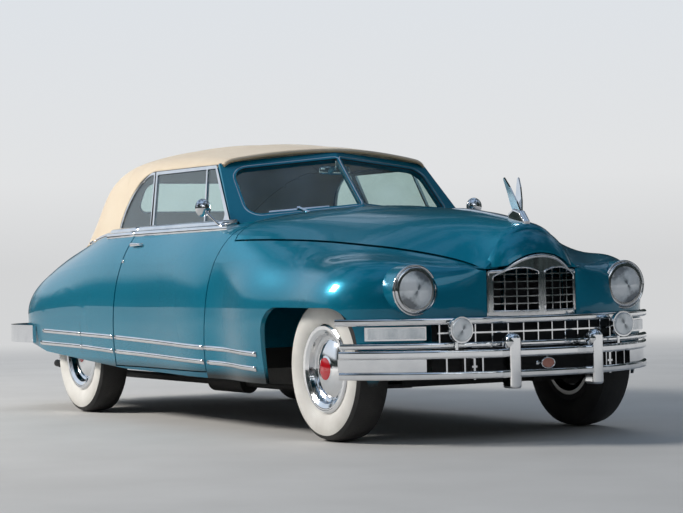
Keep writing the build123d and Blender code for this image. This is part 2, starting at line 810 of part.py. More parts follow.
def door_panes():
    """Both panes of the right door."""
    with BuildPart() as panes:
        with BuildSketch(frame_plane().offset(-DOOR_GLASS / 2)):
            add(vent_opening(SEAT_GAP))
            add(door_opening(SEAT_GAP))
        extrude(amount=DOOR_GLASS)
    return panes.part


def rod(start, end, radius, radius_end=None):
    """A round bar or a cone between two points."""
    first, last = Vector(*start), Vector(*end)
    axis = last - first
    with BuildPart() as bar:
        with BuildSketch(Plane(origin=first, z_dir=axis)):
            Circle(radius)
        if radius_end is None:
            extrude(amount=axis.length)
        else:
            with BuildSketch(Plane(origin=last, z_dir=axis)):
                Circle(radius_end)
            loft()
    return bar.part


def ball(centre, radius):
    """A ball."""
    with BuildPart() as sphere:
        with Locations(centre):
            Sphere(radius)
    return sphere.part


MIRROR_CENTRE = (548.0, -913.0, 1253.0)
MIRROR_RADIUS = 52.0
MIRROR_FOOT = (650.0, -838.0, 1130.0)
HANDLE_Y = 914.0
HANDLE_Z = 1062.0


def right_door_trim():
    """Window frame, mirror and handle of the right door."""
    x, y, z = MIRROR_CENTRE
    arm = rod(MIRROR_FOOT, (x + 12, y + 8, z - 20), 7)
    foot = ball((MIRROR_FOOT[0], MIRROR_FOOT[1], MIRROR_FOOT[2] + 12), 22)
    with BuildPart() as head:
        with BuildSketch(Plane.XY.offset(0)):
            with BuildLine():
                dome = ThreePointArc((0, -MIRROR_RADIUS), (38, 0), (0, MIRROR_RADIUS))
                Line(dome @ 0, dome @ 1)
            make_face()
            split(bisect_by=Plane.XZ, keep=Keep.BOTTOM)
        revolve(axis=Axis.X)
    turned = Plane(origin=MIRROR_CENTRE, x_dir=(0.94, 0.1, 0), z_dir=(0, 0, 1)) * head.part
    grip = rod((-450, -HANDLE_Y, HANDLE_Z), (-318, -HANDLE_Y, HANDLE_Z), 13, 8)
    posts = joined(
        *[rod((x, -860, HANDLE_Z), (x, -HANDLE_Y, HANDLE_Z), radius) for x, radius in ((-436, 12), (-336, 8))]
    )
    outside = clipped(joined(arm, foot, turned, grip, posts), OUTER)
    return clipped(joined(door_window_frame(), outside), OUTER)


door_trim = right_door_trim()
finish(door_trim, "door_right_trim")
finish(mirrored(door_trim), "door_left_trim")
panes = door_panes()
finish(panes, "door_right_glass")
finish(mirrored(panes), "door_left_glass")


def quarter_outline(grow=0.0):
    """The fixed quarter window in side view, made larger by an amount."""

    def outline():
        low = Line((-900 - grow, 1120 - grow), (-437 + grow * 0.7, 1120 - grow))
        post = Line(low @ 1, (-562 + grow * 0.7, 1490 + grow))
        head = Line(post @ 1, (-600, 1490 + grow))
        bend = ThreePointArc(head @ 1, (-790 - grow * 0.7, 1390 + grow * 0.6), (-886 - grow, 1210))
        Line(bend @ 1, low @ 0)

    return outline


def quarter_band(thickness):
    """A flat layer on the quarter window's leaning plane."""
    with BuildPart() as layer:
        with BuildSketch(frame_plane().offset(-thickness / 2)):
            with Locations((-700, 200)):
                Rectangle(900, 500)
        extrude(amount=thickness)
    return layer.part


quarter_hole = side_prism(quarter_outline(0), near=600)
quarter_frame = clipped(
    common(side_prism(quarter_outline(16), near=600), quarter_band(14)), quarter_hole, OUTER, canopy
)
finish(Compound([quarter_frame, mirrored(quarter_frame)]), "quarter_frames")
quarter_glass = clipped(
    common(side_prism(quarter_outline(-SEAT_GAP), near=600), quarter_band(DOOR_GLASS)), OUTER
)
rear_panes = Compound([joined(back_pane, mirrored(back_pane)), quarter_glass, mirrored(quarter_glass)])
finish(rear_panes, "rear_glass")


def drum(x, y0, y1, z, radius, bore=0.0):
    """A cylinder or ring across the car, between two distances from the middle."""
    with BuildPart() as ring:
        with BuildSketch(Plane.XZ.offset(-y0)):
            with Locations((x, z)):
                Circle(radius)
                if bore:
                    Circle(bore, mode=Mode.SUBTRACT)
        extrude(amount=-(y1 - y0))
    return ring.part


def post(x, y, z0, z1, radius, bore=0.0):
    """An upright cylinder or ring."""
    with BuildPart() as ring:
        with BuildSketch(Plane.XY.offset(z0)):
            with Locations((x, y)):
                Circle(radius)
                if bore:
                    Circle(bore, mode=Mode.SUBTRACT)
        extrude(amount=z1 - z0)
    return ring.part


def side_slab(points, y0, y1):
    """A side-view polygon between two sideways positions."""
    with BuildPart() as slab:
        with BuildSketch(Plane.XZ.offset(-y0)):
            with BuildLine():
                Polyline(*points, close=True)
            make_face()
        extrude(amount=-(y1 - y0))
    return slab.part


def plan_slab(points, z0, z1):
    """A polygon seen from above, between two heights."""
    with BuildPart() as slab:
        with BuildSketch(Plane.XY.offset(z0)):
            with BuildLine():
                Polyline(*points, close=True)
            make_face()
        extrude(amount=z1 - z0)
    return slab.part


# Chassis frame. The rails' centre line in side view
RAIL_LINE = [
    (FRONT_X + 612, 440),
    (FRONT_X - 308, 430),
    (FRONT_X - 658, 290),
    (REAR_X + 567, 290),
    (REAR_X + 337, 500),
    (REAR_X - 333, 500),
    (REAR_X - 583, 430),
    (REAR_X - 1143, 420),
]
RAIL_DEPTH = 110.0
RAIL_INNER_Y = 385.0
RAIL_OUTER_Y = 445.0
KINGPIN_Y = FRONT_TRACK / 2 - KINGPIN_OFFSET
KINGPIN_RADIUS = 12.0
KNUCKLE_LOW_Z = 286.0
KNUCKLE_TOP_Z = 476.0
EYE_RADIUS = 22.0
EYE_HEIGHT = 20.0
EYE_GAP = 0.3
SPRING_RADIUS = 48.0
SPRING_Y = 520.0


def suspension_arm(z0, z1):
    """A left wishbone between two heights, with its eye at the kingpin."""
    plan = [
        (FRONT_X - 20, KINGPIN_Y - 12),
        (FRONT_X + 20, KINGPIN_Y - 12),
        (FRONT_X + 110, RAIL_OUTER_Y - 5),
        (FRONT_X - 110, RAIL_OUTER_Y - 5),
    ]
    arm = joined(plan_slab(plan, z0, z1), post(FRONT_X, KINGPIN_Y, z0, z1, EYE_RADIUS))
    return clipped(arm, post(FRONT_X, KINGPIN_Y, z0 - 1, z1 + 1, KINGPIN_RADIUS + EYE_GAP))


def left_rail():
    """The left rail with its share of the cross-members and the front suspension."""
    top = [(x, z + RAIL_DEPTH / 2) for x, z in RAIL_LINE]
    low = [(x, z - RAIL_DEPTH / 2) for x, z in reversed(RAIL_LINE)]
    rail = side_slab(top + low, RAIL_INNER_Y, RAIL_OUTER_Y)
    low_arm_top = KNUCKLE_LOW_Z - 2
    top_arm_low = KNUCKLE_TOP_Z + 2
    low_arm = suspension_arm(low_arm_top - EYE_HEIGHT, low_arm_top)
    top_arm = suspension_arm(top_arm_low, top_arm_low + EYE_HEIGHT)
    tower = block(FRONT_X - 110, FRONT_X + 110, RAIL_INNER_Y, RAIL_OUTER_Y, low_arm_top - EYE_HEIGHT, 500)
    spring = post(FRONT_X, SPRING_Y, low_arm_top - 5, top_arm_low + 5, SPRING_RADIUS)
    members = [
        block(FRONT_X + 520, FRONT_X + 600, -5, RAIL_INNER_Y + 5, 390, 450),
        block(FRONT_X - 60, FRONT_X + 60, -5, RAIL_INNER_Y + 5, 264, 320),
        block(600, 680, -5, RAIL_INNER_Y + 5, 237, 262),
        block(-160, -80, -5, RAIL_INNER_Y + 5, 237, 262),
        block(REAR_X + 567, REAR_X + 647, -5, RAIL_INNER_Y + 5, 237, 262),
        block(REAR_X - 333, REAR_X - 253, -5, RAIL_INNER_Y + 5, 480, 540),
        block(REAR_X - 1143, REAR_X - 1063, -5, RAIL_INNER_Y + 5, 385, 475),
    ]
    return joined(rail, low_arm, top_arm, tower, spring, *members)


frame_half = left_rail()
finish(joined(frame_half, mirrored(frame_half)), "chassis_frame")

# Wheels, from outboard of the wheel's middle plane and from the axle
HUB_BORE = 25.3
SPINDLE_RADIUS = 25.0
SPINDLE_TIP = 32.0
PLATE_NEAR = -57.0
PLATE_FAR = -52.0
WHEEL_BODY = [
    (-45, HUB_BORE), (30, HUB_BORE), (30, HUB_RADIUS), (20, HUB_RADIUS), (20, 185), (80, 185),
    (80, 204.7), (-75, 204.7), (-75, 185), (10, 185), (10, DRUM_RADIUS), (-50, DRUM_RADIUS),
    (-50, 140), (10, 140), (10, HUB_RADIUS), (-45, HUB_RADIUS),
]
TRIM_RING = [
    (72, 190), (78.4, 204), (78.4, 230), (84, 233), (91, 222), (90, 204), (78, 182), (50, 172),
    (42, 160), (48, 152), (54, 150),
]
TRIM_BACK = [(48, 146), (34, 158), (44, 176), (66, 186), (72, 190)]
CAP_MIDDLE = (74.0, 96.0)
CAP_SHOULDER = (80.0, 68.0)
CAP_TIP = 92.0
CAP_THICKNESS = 5.0


def wheel_plane(x, y):
    """The plane through a left wheel's axle: first axis outboard, second axis up."""
    return Plane(origin=(x, y, AXLE_Z), x_dir=(0, 1, 0), z_dir=(1, 0, 0))


def left_wheel(x, y):
    """Rim, disc, drum, trim ring and domed cap of a left wheel."""
    axle = Axis((x, y, AXLE_Z), (0, 1, 0))
    with BuildPart() as wheel:
        with BuildSketch(wheel_plane(x, y)):
            with BuildLine():
                Polyline(*WHEEL_BODY, close=True)
            make_face()
            with BuildLine():
                Polyline(*TRIM_RING)
                ThreePointArc(TRIM_RING[-1], CAP_MIDDLE, CAP_SHOULDER)
                TangentArc((CAP_TIP, 0), CAP_SHOULDER, tangent=(0, 1))
                Line((CAP_TIP, 0), (CAP_TIP - CAP_THICKNESS, 0))
                ThreePointArc((CAP_TIP - CAP_THICKNESS, 0), (CAP_MIDDLE[0] + 1, 66), TRIM_BACK[0])
                Polyline(*TRIM_BACK)
            make_face()
        revolve(axis=axle)
    return wheel.part


def left_tyre(x, y):
    """A left tyre, seated on its rim."""
    axle = Axis((x, y, AXLE_Z), (0, 1, 0))
    half = TYRE_WIDTH / 2
    with BuildPart() as tyre:
        with BuildSketch(wheel_plane(x, y)):
            with BuildLine():
                Line((-74, 205), (78, 205))
                Line((78, 205), (78, 234))
                outer = ThreePointArc((78, 234), (half, 292), (80, 366))
                crown = ThreePointArc(outer @ 1, (0, TYRE_RADIUS), (-80, 366))
                inner = ThreePointArc(crown @ 1, (-half, 292), (-78, 234))
                Polyline(inner @ 1, (-78, 209), (-74, 205))
            make_face()
        revolve(axis=axle)
    return tyre.part


for end, x, track in (("front", FRONT_X, FRONT_TRACK), ("rear", REAR_X, REAR_TRACK)):
    wheel = left_wheel(x, track / 2)
    finish(wheel, f"wheel_{end}_left")
    finish(mirrored(wheel), f"wheel_{end}_right")
    tyre = left_tyre(x, track / 2)
    finish(tyre, f"tyre_{end}_left")
    finish(mirrored(tyre), f"tyre_{end}_right")


def left_knuckle():
    """Spindle, kingpin, backing plate and steering arm of the left front wheel."""
    y = FRONT_TRACK / 2
    spindle = drum(FRONT_X, KINGPIN_Y, y + SPINDLE_TIP, AXLE_Z, SPINDLE_RADIUS)
    plate = drum(FRONT_X, y + PLATE_NEAR, y + PLATE_FAR, AXLE_Z, DRUM_RADIUS - 2)
    upright = post(FRONT_X, KINGPIN_Y, KNUCKLE_LOW_Z, KNUCKLE_TOP_Z, 18)
    pin = post(FRONT_X, KINGPIN_Y, KNUCKLE_LOW_Z - EYE_HEIGHT, KNUCKLE_TOP_Z + EYE_HEIGHT, KINGPIN_RADIUS)
    arm = block(FRONT_X - 140, FRONT_X, KINGPIN_Y - 16, KINGPIN_Y + 8, 300, 318)
    return joined(spindle, plate, upright, pin, arm)


knuckle = left_knuckle()
finish(knuckle, "knuckle_left")
finish(mirrored(knuckle), "knuckle_right")

AXLE_TUBE_RADIUS = 40.0
DIFF_RADIUS = 140.0
LEAF_INNER_Y = 450.0
LEAF_OUTER_Y = 500.0
PROP_RADIUS = 28.0


def left_axle():
    """The rear axle's left half, with its leaf spring, brackets and backing plate."""
    y = REAR_TRACK / 2
    tube = drum(REAR_X, -5, y + PLATE_NEAR + 2, AXLE_Z, AXLE_TUBE_RADIUS)
    spindle = drum(REAR_X, y + PLATE_NEAR, y + SPINDLE_TIP, AXLE_Z, SPINDLE_RADIUS)
    plate = drum(REAR_X, y + PLATE_NEAR, y + PLATE_FAR, AXLE_Z, DRUM_RADIUS - 2)
    with BuildPart() as spring:
        with BuildSketch(Plane.XZ.offset(-LEAF_INNER_Y)):
            with BuildLine():
                leaf = ThreePointArc((REAR_X + 540, 290), (REAR_X, 322), (REAR_X - 540, 345))
                offset(leaf, amount=13, side=Side.BOTH)
            make_face()
        extrude(amount=-(LEAF_OUTER_Y - LEAF_INNER_Y))
    seat = block(REAR_X - 60, REAR_X + 60, LEAF_INNER_Y, LEAF_OUTER_Y, 322, AXLE_Z)
    front = block(REAR_X + 515, REAR_X + 565, RAIL_OUTER_Y, LEAF_OUTER_Y, 265, 330)
    rear = block(REAR_X - 565, REAR_X - 515, RAIL_OUTER_Y, LEAF_OUTER_Y, 320, 450)
    return joined(tube, spindle, plate, spring.part, seat, front, rear)


axle_half = left_axle()
with BuildPart() as differential:
    with Locations((REAR_X, 0, AXLE_Z)):
        Sphere(DIFF_RADIUS)
PROP_FRONT = (538.0, 0.0, 290.0)
propshaft = rod(PROP_FRONT, (REAR_X + 50, 0, AXLE_Z), PROP_RADIUS)
finish(joined(axle_half, mirrored(axle_half), differential.part, propshaft), "rear_axle")

# Engine with its gearbox, one plain piece
ENGINE_FRONT_X = FRONT_X - 108.0
ENGINE_REAR_X = FRONT_X - 758.0
engine = joined(
    block(ENGINE_REAR_X, ENGINE_FRONT_X, -240, 240, 320.3, 960),
    block(540, ENGINE_REAR_X + 5, -110, 110, 262, 420),
)
for side in (-1, 1):
    foot_x = ENGINE_FRONT_X - 100
    engine = joined(engine, block(foot_x - 50, foot_x + 50, side * 235, side * RAIL_INNER_Y, 420, 460))
finish(engine, "engine_block")


def pipe(points, radius, bend):
    """A round bar along a line with rounded bends."""
    with BuildPart() as bar:
        with BuildLine() as path:
            FilletPolyline(*points, radius=bend)
        with BuildSketch(Plane(origin=path.line @ 0, z_dir=path.line % 0)):
            Circle(radius)
        sweep()
    return bar.part


EXHAUST_Y = 265.0
EXHAUST_Z = 205.0
exhaust_pipe = pipe(
    [(1400, -EXHAUST_Y, 480), (1400, -EXHAUST_Y, EXHAUST_Z), (-2100, -EXHAUST_Y, EXHAUST_Z),
     (-2300, -520, 240), (-2600, -540, 270)],
    24, 90,
)
muffler = rod((-640, -EXHAUST_Y, EXHAUST_Z), (-190, -EXHAUST_Y, EXHAUST_Z), 62)
manifold = block(1150, 1640, -285, -240, 470, 530)
hangers = joined(
    block(605, 675, -272, -252, EXHAUST_Z, 237),
    block(-135, -105, -272, -252, EXHAUST_Z, 237),
    block(REAR_X - 1100, REAR_X - 1080, -445, -425, 250, 365.7),
)
finish(joined(exhaust_pipe, muffler, manifold, hangers), "exhaust")

with BuildPart() as tank:
    with Locations(((REAR_X - 540 + REAR_X - 930) / 2, 0, 395)):
        Box(390, 2 * (RAIL_INNER_Y - SEAT_GAP), 160)
    fillet(tank.edges().filter_by(Axis.Y), radius=30)
finish(tank.part, "fuel_tank")


def ring_bar(centre_x, radius, depth, z0, z1, y_far, y_near=0.0, corner=0.0):
    """A bowed bar seen from above, on both sides of the middle or only beyond a distance from it."""
    far, near = (degrees(asin(y / radius)) for y in (y_far, y_near))
    spans = [(near, far), (-far, -near)] if y_near else [(-far, far)]
    bars = []
    for start, end in spans:
        plane = Plane.XZ.rotated((0, 0, start))
        with BuildPart() as bar:
            with BuildSketch(plane):
                with Locations((radius - depth / 2, (z0 + z1) / 2)):
                    if corner:
                        RectangleRounded(depth, z1 - z0, corner)
                    else:
                        Rectangle(depth, z1 - z0)
            revolve(axis=Axis.Z, revolution_arc=end - start)
        bars.append(Pos(centre_x, 0, 0) * bar.part)
    return bars[0] if len(bars) == 1 else joined(*bars)


# Front bumper
BUMPER_CENTRE_X = 1470.0
BUMPER_RADIUS = 1185.0
BUMPER_DEPTH = 26.0
BUMPER_END_Y = 962.0
BLADE_LOW_Z = (334.0, 373.0)
BLADE_TOP_Z = (436.0, 480.0)
GUARD_Y = 250.0
GUARD_WIDTH = 62.0
GUARD_Z = (284.0, 562.0)
GUARD_FACE_X = LENGTH / 2
CRATE_Y = (378.0, 463.0, 545.0)
END_PANEL_Y = 626.0
END_PANEL_INSET = 16.0
BLADE_CORNER = 12.0
IRON_Y = 415.0


def bumper_guard(y):
    """An upright guard with a bulb at its top."""
    low, top = GUARD_Z
    with BuildPart() as guard:
        with Locations(((2600 + GUARD_FACE_X) / 2, y, (low + top) / 2 - 14)):
            Box(GUARD_FACE_X - 2600, GUARD_WIDTH, top - low - 28)
        fillet(guard.edges().filter_by(Axis.Z), radius=26)
        fillet(guard.faces().sort_by(Axis.Z)[0].edges(), radius=14)
    with BuildPart() as bulb:
        with Locations((GUARD_FACE_X - 46, y, top - 46)):
            Sphere(45.9)
    return joined(guard.part, bulb.part)


def front_bumper():
    """Two blades with an open crate between them, end panels, guards and irons."""
    low, top = (
        ring_bar(BUMPER_CENTRE_X, BUMPER_RADIUS, BUMPER_DEPTH, *heights, BUMPER_END_Y, corner=BLADE_CORNER)
        for heights in (BLADE_LOW_Z, BLADE_TOP_Z)
    )
    between = (BLADE_LOW_Z[1] - 4, BLADE_TOP_Z[0] + 4)
    ends = ring_bar(
        BUMPER_CENTRE_X, BUMPER_RADIUS - END_PANEL_INSET, 9, *between, BUMPER_END_Y - 6, END_PANEL_Y
    )
    middle = ring_bar(BUMPER_CENTRE_X, BUMPER_RADIUS - 5, 16, *between, END_PANEL_Y)
    slots = [
        block(2000, 2700, side * y - 3.5, side * y + 3.5, 350, 450) for side in (-1, 1) for y in CRATE_Y
    ]
    crates = common(middle, joined(*slots))
    guards = [bumper_guard(side * GUARD_Y) for side in (-1, 1)]
    iron_front = BUMPER_CENTRE_X + sqrt((BUMPER_RADIUS - 10) ** 2 - IRON_Y**2)
    irons = [
        block(FRONT_X + 612, iron_front, side * IRON_Y - 15, side * IRON_Y + 15, z0, z1)
        for side in (-1, 1)
        for z0, z1 in ((390, 400), (436, 470))
    ]
    webs = [
        block(FRONT_X + 612, iron_front, side * IRON_Y - 6, side * IRON_Y + 6, 330, 470) for side in (-1, 1)
    ]
    return joined(low, top, ends, crates, *guards, *irons, *webs)


finish(front_bumper(), "front_bumper")

# Lower grille, bowed bars between the bumper and the main grille
BAR_CENTRE_X = 1306.0
BAR_RADIUS = 1290.0
UPPER_BAR_Z = (604.0, 639.7)
SECOND_BAR_Z = (485.0, 517.0)
BAR_CORNER = 12.0
UPPER_BAR_END_Y = 975.0
SECOND_BAR_END_Y = 957.0
LATTICE_Y = 560.0
LATTICE_STEP = 85.0
PARKING_Y = (610.0, 862.0)
PARKING_Z = (530.0, 598.0)


def lower_grille():
    """Two wide bars, the lattice between them and the brackets that carry them."""
    upper = ring_bar(BAR_CENTRE_X, BAR_RADIUS, 30, *UPPER_BAR_Z, UPPER_BAR_END_Y, corner=BAR_CORNER)
    second = ring_bar(BAR_CENTRE_X, BAR_RADIUS, 28, *SECOND_BAR_Z, SECOND_BAR_END_Y, corner=BAR_CORNER)
    field = ring_bar(BAR_CENTRE_X, BAR_RADIUS - 6, 18, SECOND_BAR_Z[0] + 4, UPPER_BAR_Z[1] - 4, LATTICE_Y + 4)
    uprights = [
        block(2000, 2700, y - 3, y + 3, 480, 640)
        for y in [(i + 0.5) * LATTICE_STEP for i in range(-7, 7)]
    ]
    level = block(2000, 2700, -LATTICE_Y, LATTICE_Y, 559, 567)
    lattice = common(field, joined(level, *uprights))
    feet = [
        block(2250, 2440, side * 630 - 14, side * 630 + 14, z0, z1)
        for side in (-1, 1)
        for z0, z1 in ((614, 637),)
    ]
    stays = [
        block(FRONT_X + 560, 2560, side * 300 - 12, side * 300 + 12, 486, 510) for side in (-1, 1)
    ]
    brackets = [
        block(FRONT_X + 520, FRONT_X + 590, side * 300 - 12, side * 300 + 12, 450, 510) for side in (-1, 1)
    ]
    bars = clipped(joined(upper, second, lattice), OUTER, mirrored(OUTER))
    whole = joined(bars, *stays, *brackets)
    feet_part = clipped(joined(*feet), OUTER, mirrored(OUTER))
    reach = ring_bar(BAR_CENTRE_X, BAR_RADIUS - 10, 400, 600, 650, 700)
    return joined(whole, common(feet_part, reach))


finish(lower_grille(), "lower_grille")


def headlamp():
    """The right headlamp's bezel and bowl."""
    with BuildPart() as lamp:
        with BuildSketch(Plane.YZ.offset(POD_REAR_X + 30)):
            with Locations((-LAMP_Y, LAMP_Z)):
                Circle(BEZEL_RADIUS)
        extrude(amount=LAMP_FACE_X - POD_REAR_X - 30)
        fillet(lamp.faces().sort_by(Axis.X)[-1].edges(), radius=12)
        with BuildSketch(Plane.YZ.offset(LAMP_FACE_X - 60)):
            with Locations((-LAMP_Y, LAMP_Z)):
                Circle(96)
        extrude(amount=100, mode=Mode.SUBTRACT)
    return lamp.part


def headlamp_lens():
    """The right headlamp's domed lens."""
    with BuildPart() as lens:
        with BuildSketch(Plane(origin=(0, -LAMP_Y, LAMP_Z), x_dir=(1, 0, 0), z_dir=(0, -1, 0))):
            with BuildLine():
                back = Line((LAMP_FACE_X - 14, 0), (LAMP_FACE_X - 14, 95.7))
                rim = Line(back @ 1, (LAMP_FACE_X - 4, 95.7))
                TangentArc((LAMP_FACE_X + 20, 0), rim @ 1, tangent=(0, 1))
                Line((LAMP_FACE_X + 20, 0), back @ 0)
            make_face()
        revolve(axis=Axis((0, -LAMP_Y, LAMP_Z), (1, 0, 0)))
    return lens.part


FOG_Y = 495.0
FOG_Z = 580.0
FOG_RADIUS = 66.0
FOG_REAR_X = 2506.0
FOG_FACE_X = 2584.0


def fog_lamp():
    """The right fog lamp's round shell on its post."""
    with BuildPart() as shell:
        with BuildSketch(Plane(origin=(0, -FOG_Y, FOG_Z), x_dir=(1, 0, 0), z_dir=(0, -1, 0))):
            with BuildLine():
                bowl = ThreePointArc((FOG_REAR_X, 0), (FOG_REAR_X + 18, 44), (FOG_FACE_X - 16, FOG_RADIUS))
                Polyline(bowl @ 1, (FOG_FACE_X, FOG_RADIUS), (FOG_FACE_X, 0), (FOG_REAR_X, 0))
            make_face()
        revolve(axis=Axis((0, -FOG_Y, FOG_Z), (1, 0, 0)))
    return joined(shell.part, post(2533, -FOG_Y, BLADE_TOP_Z[1], FOG_Z - 50, 9))


def fog_lens():
    """The right fog lamp's lens."""
    with BuildPart() as lens:
        with BuildSketch(Plane.YZ.offset(FOG_FACE_X)):
            with Locations((-FOG_Y, FOG_Z)):
                Circle(FOG_RADIUS - 8)
        extrude(amount=9)
        fillet(lens.faces().sort_by(Axis.X)[-1].edges(), radius=7)
    return lens.part


def right_parking_lamp(depth, radius, inset):
    """A bowed layer of the right parking lamp."""
    near, far = PARKING_Y
    low, top = PARKING_Z
    layer = ring_bar(BAR_CENTRE_X, radius, depth, low + inset, top - inset, far - inset, near + inset)
    return common(layer, block(0, LENGTH, -HALF, 0, 0, 1000))


parking_shell = clipped(right_parking_lamp(64, BAR_RADIUS - 8, 0), OUTER)
parking_lens = right_parking_lamp(8, BAR_RADIUS, 8)
lamps = [headlamp(), fog_lamp(), parking_shell]
lenses = [headlamp_lens(), fog_lens(), parking_lens]
finish(Compound(lamps + [mirrored(lamp) for lamp in lamps]), "front_lamps")
finish(Compound(lenses + [mirrored(lens) for lens in lenses]), "lamp_lenses")

# Rear bumper and lamps
REAR_FACE_X = -LENGTH / 2
REAR_BUMPER_HALF = 978.0
REAR_BUMPER_Z = (440.0, 556.0)
REAR_BUMPER_END_X = REAR_X - 520.0
REAR_GUARD_Y = 300.0


def rear_bumper():
    """A wraparound blade with two guards and its irons."""
    z0, z1 = REAR_BUMPER_Z
    with BuildPart() as blade:
        with BuildSketch(Plane.XY.offset(z0)):
            with Locations((REAR_FACE_X + 22 + 1000, 0)):
                RectangleRounded(2000, 2 * REAR_BUMPER_HALF, 430)
                RectangleRounded(2000 - 50, 2 * REAR_BUMPER_HALF - 50, 405, mode=Mode.SUBTRACT)
            with Locations((REAR_BUMPER_END_X + 1500, 0)):
                Rectangle(3000, 3000, mode=Mode.SUBTRACT)
        extrude(amount=z1 - z0)
    pieces = [blade.part]
    for side in (-1, 1):
        with BuildPart() as guard:
            with Locations((REAR_FACE_X + 35, side * REAR_GUARD_Y, (z0 + z1) / 2 + 8)):
                Box(70, 66, 220)
            fillet(guard.edges().filter_by(Axis.Z), radius=24)
            fillet(guard.faces().sort_by(Axis.Z)[-1].edges(), radius=22)
        iron = block(REAR_FACE_X + 40, REAR_X - 1143, side * IRON_Y - 15, side * IRON_Y + 15, 442, 480)
        pieces += [guard.part, iron]
    return joined(*pieces)


finish(rear_bumper(), "rear_bumper")

# Tail lamps
TAIL_LAMP_Y = 690.0
TAIL_LAMP_Z = 735.0
tail_lamp_rod = rod(
    (REAR_X - 900, -TAIL_LAMP_Y, TAIL_LAMP_Z), (REAR_X - 1035, -TAIL_LAMP_Y, TAIL_LAMP_Z), 46, 40
)
tail_lamp = clipped(tail_lamp_rod, OUTER)
finish(Compound([tail_lamp, mirrored(tail_lamp)]), "tail_lamps")

# Floor and sills
SILL_NEAR_X = DOOR_FRONT_LOW_X
SILL_FAR_X = DOOR_REAR_LOW_X
FLOOR_HALF_WIDTH = 768.0
TUNNEL_HALF_WIDTH = 125.0
FLOOR_REAR_X = REAR_X + 467.0
REAR_FLOOR_Z = 560.0


def right_floor():
    """The right half of the floor, from the firewall to the tail."""
    top_z = FLOOR_Z + FLOOR_THICKNESS
    toe_x = HOOD_REAR_X - FIREWALL_THICKNESS
    slab = block(FLOOR_REAR_X, SILL_NEAR_X, -FLOOR_HALF_WIDTH, 5, FLOOR_Z, top_z)
    fore = block(SILL_NEAR_X - 5, toe_x, -FLOOR_HALF_WIDTH, 5, FLOOR_Z, top_z)
    toe = side_slab(
        [(toe_x - 12, FLOOR_Z), (toe_x, FLOOR_Z), (toe_x, FIREWALL_LOW_Z + 40),
         (toe_x - 12, FIREWALL_LOW_Z + 40)],
        -FLOOR_HALF_WIDTH, 5,
    )
    riser = block(SILL_FAR_X, SILL_NEAR_X, -FLOOR_HALF_WIDTH, -FLOOR_HALF_WIDTH + 12, 300, top_z)
    flange = block(SILL_FAR_X, SILL_NEAR_X, -835, -FLOOR_HALF_WIDTH + 12, 300, 312)
    sill_zone = block(SILL_FAR_X, SILL_NEAR_X, -FAR, 0, 286, 323)
    sill = clipped(common(OUTER, sill_zone), THICK, ROCKER)
    kick = side_slab(
        [(FLOOR_REAR_X, FLOOR_Z), (FLOOR_REAR_X + 14, FLOOR_Z), (FLOOR_REAR_X + 14, top_z),
         (REAR_X + 347, REAR_FLOOR_Z + 12), (REAR_X + 337, REAR_FLOOR_Z), (REAR_X + 337, REAR_FLOOR_Z - 4)],
        -REAR_FLOOR_HALF_WIDTH, 5,
    )
    rear = block(
        REAR_X - 560, REAR_X + 345, -REAR_FLOOR_HALF_WIDTH, 5, REAR_FLOOR_Z - 4.7, REAR_FLOOR_Z + 12
    )
    tail = side_slab(
        [(REAR_X - 560, REAR_FLOOR_Z - 4.7), (REAR_X - 545, REAR_FLOOR_Z + 12),
         (REAR_X - 590, REAR_FLOOR_Z + 12), (REAR_X - 610, 497), (REAR_X - 1090, 497),
         (REAR_X - 1090, 485.3), (REAR_X - 620, 485.3)],
        -REAR_FLOOR_HALF_WIDTH, 5,
    )
    tunnel_top = [(toe_x, 470), (300, 440), (FLOOR_REAR_X + 100, 470), (FLOOR_REAR_X - 20, 500)]
    tunnel_low = [(x, z - 12) for x, z in reversed(tunnel_top)]
    roof = side_slab(tunnel_top + tunnel_low, -TUNNEL_HALF_WIDTH, 5)
    wall = side_slab(
        tunnel_top + [(FLOOR_REAR_X - 20, top_z - 6), (toe_x, top_z - 6)],
        -TUNNEL_HALF_WIDTH, -TUNNEL_HALF_WIDTH + 12,
    )
    hollow = block(FLOOR_REAR_X - 5, toe_x + 5, -TUNNEL_HALF_WIDTH + 12, 10, 300, 428)
    shaft = side_slab(
        [(FLOOR_REAR_X - 200, 300), (FLOOR_REAR_X + 30, 300), (FLOOR_REAR_X + 30, 458),
         (FLOOR_REAR_X - 200, 458)],
        -60, 10,
    )
    base = clipped(joined(slab, fore, toe, kick), hollow)
    return joined(clipped(joined(base, roof, wall), shaft), riser, flange, sill, rear, tail)


tail_corner = block(REAR_X - 1100, REAR_X - 1068, -FAR, -560, 480, 500)
floor_half = clipped(right_floor(), mirrored(frame_half), tail_corner)
floor = clipped(joined(floor_half, mirrored(floor_half)), block(0, 2000, -3000, 3000, 0, 100))
finish(floor, "floor_pan")

# Seats
FRONT_SEAT_HALF = 680.0
REAR_SEAT_HALF = 600.0
FRONT_SEAT = [
    (395, 400), (400, 520), (330, 575), (-40, 545), (-150, 900), (-190, 1010), (-260, 1030), (-300, 960),
    (-230, 400),
]
REAR_SEAT = [
    (-560, 400), (-555, 540), (-620, 590), (-930, 570), (-1030, 960), (-1080, 1040), (-1150, 1050),
    (-1190, 980), (-1066, 573), (-1066, 400),
]


def seat(outline, half, floor_z, base):
    """A bench with rounded edges on its plinth."""
    with BuildPart() as bench:
        with BuildSketch(Plane.XZ.offset(-half)):
            with BuildLine():
                Polyline(*outline, close=True)
            make_face()
        extrude(amount=2 * half)
        fillet(bench.edges().filter_by(Axis.Y), radius=24)
    x0, x1 = base
    return joined(bench.part, block(x0, x1, -half + 40, half - 40, floor_z, 410))


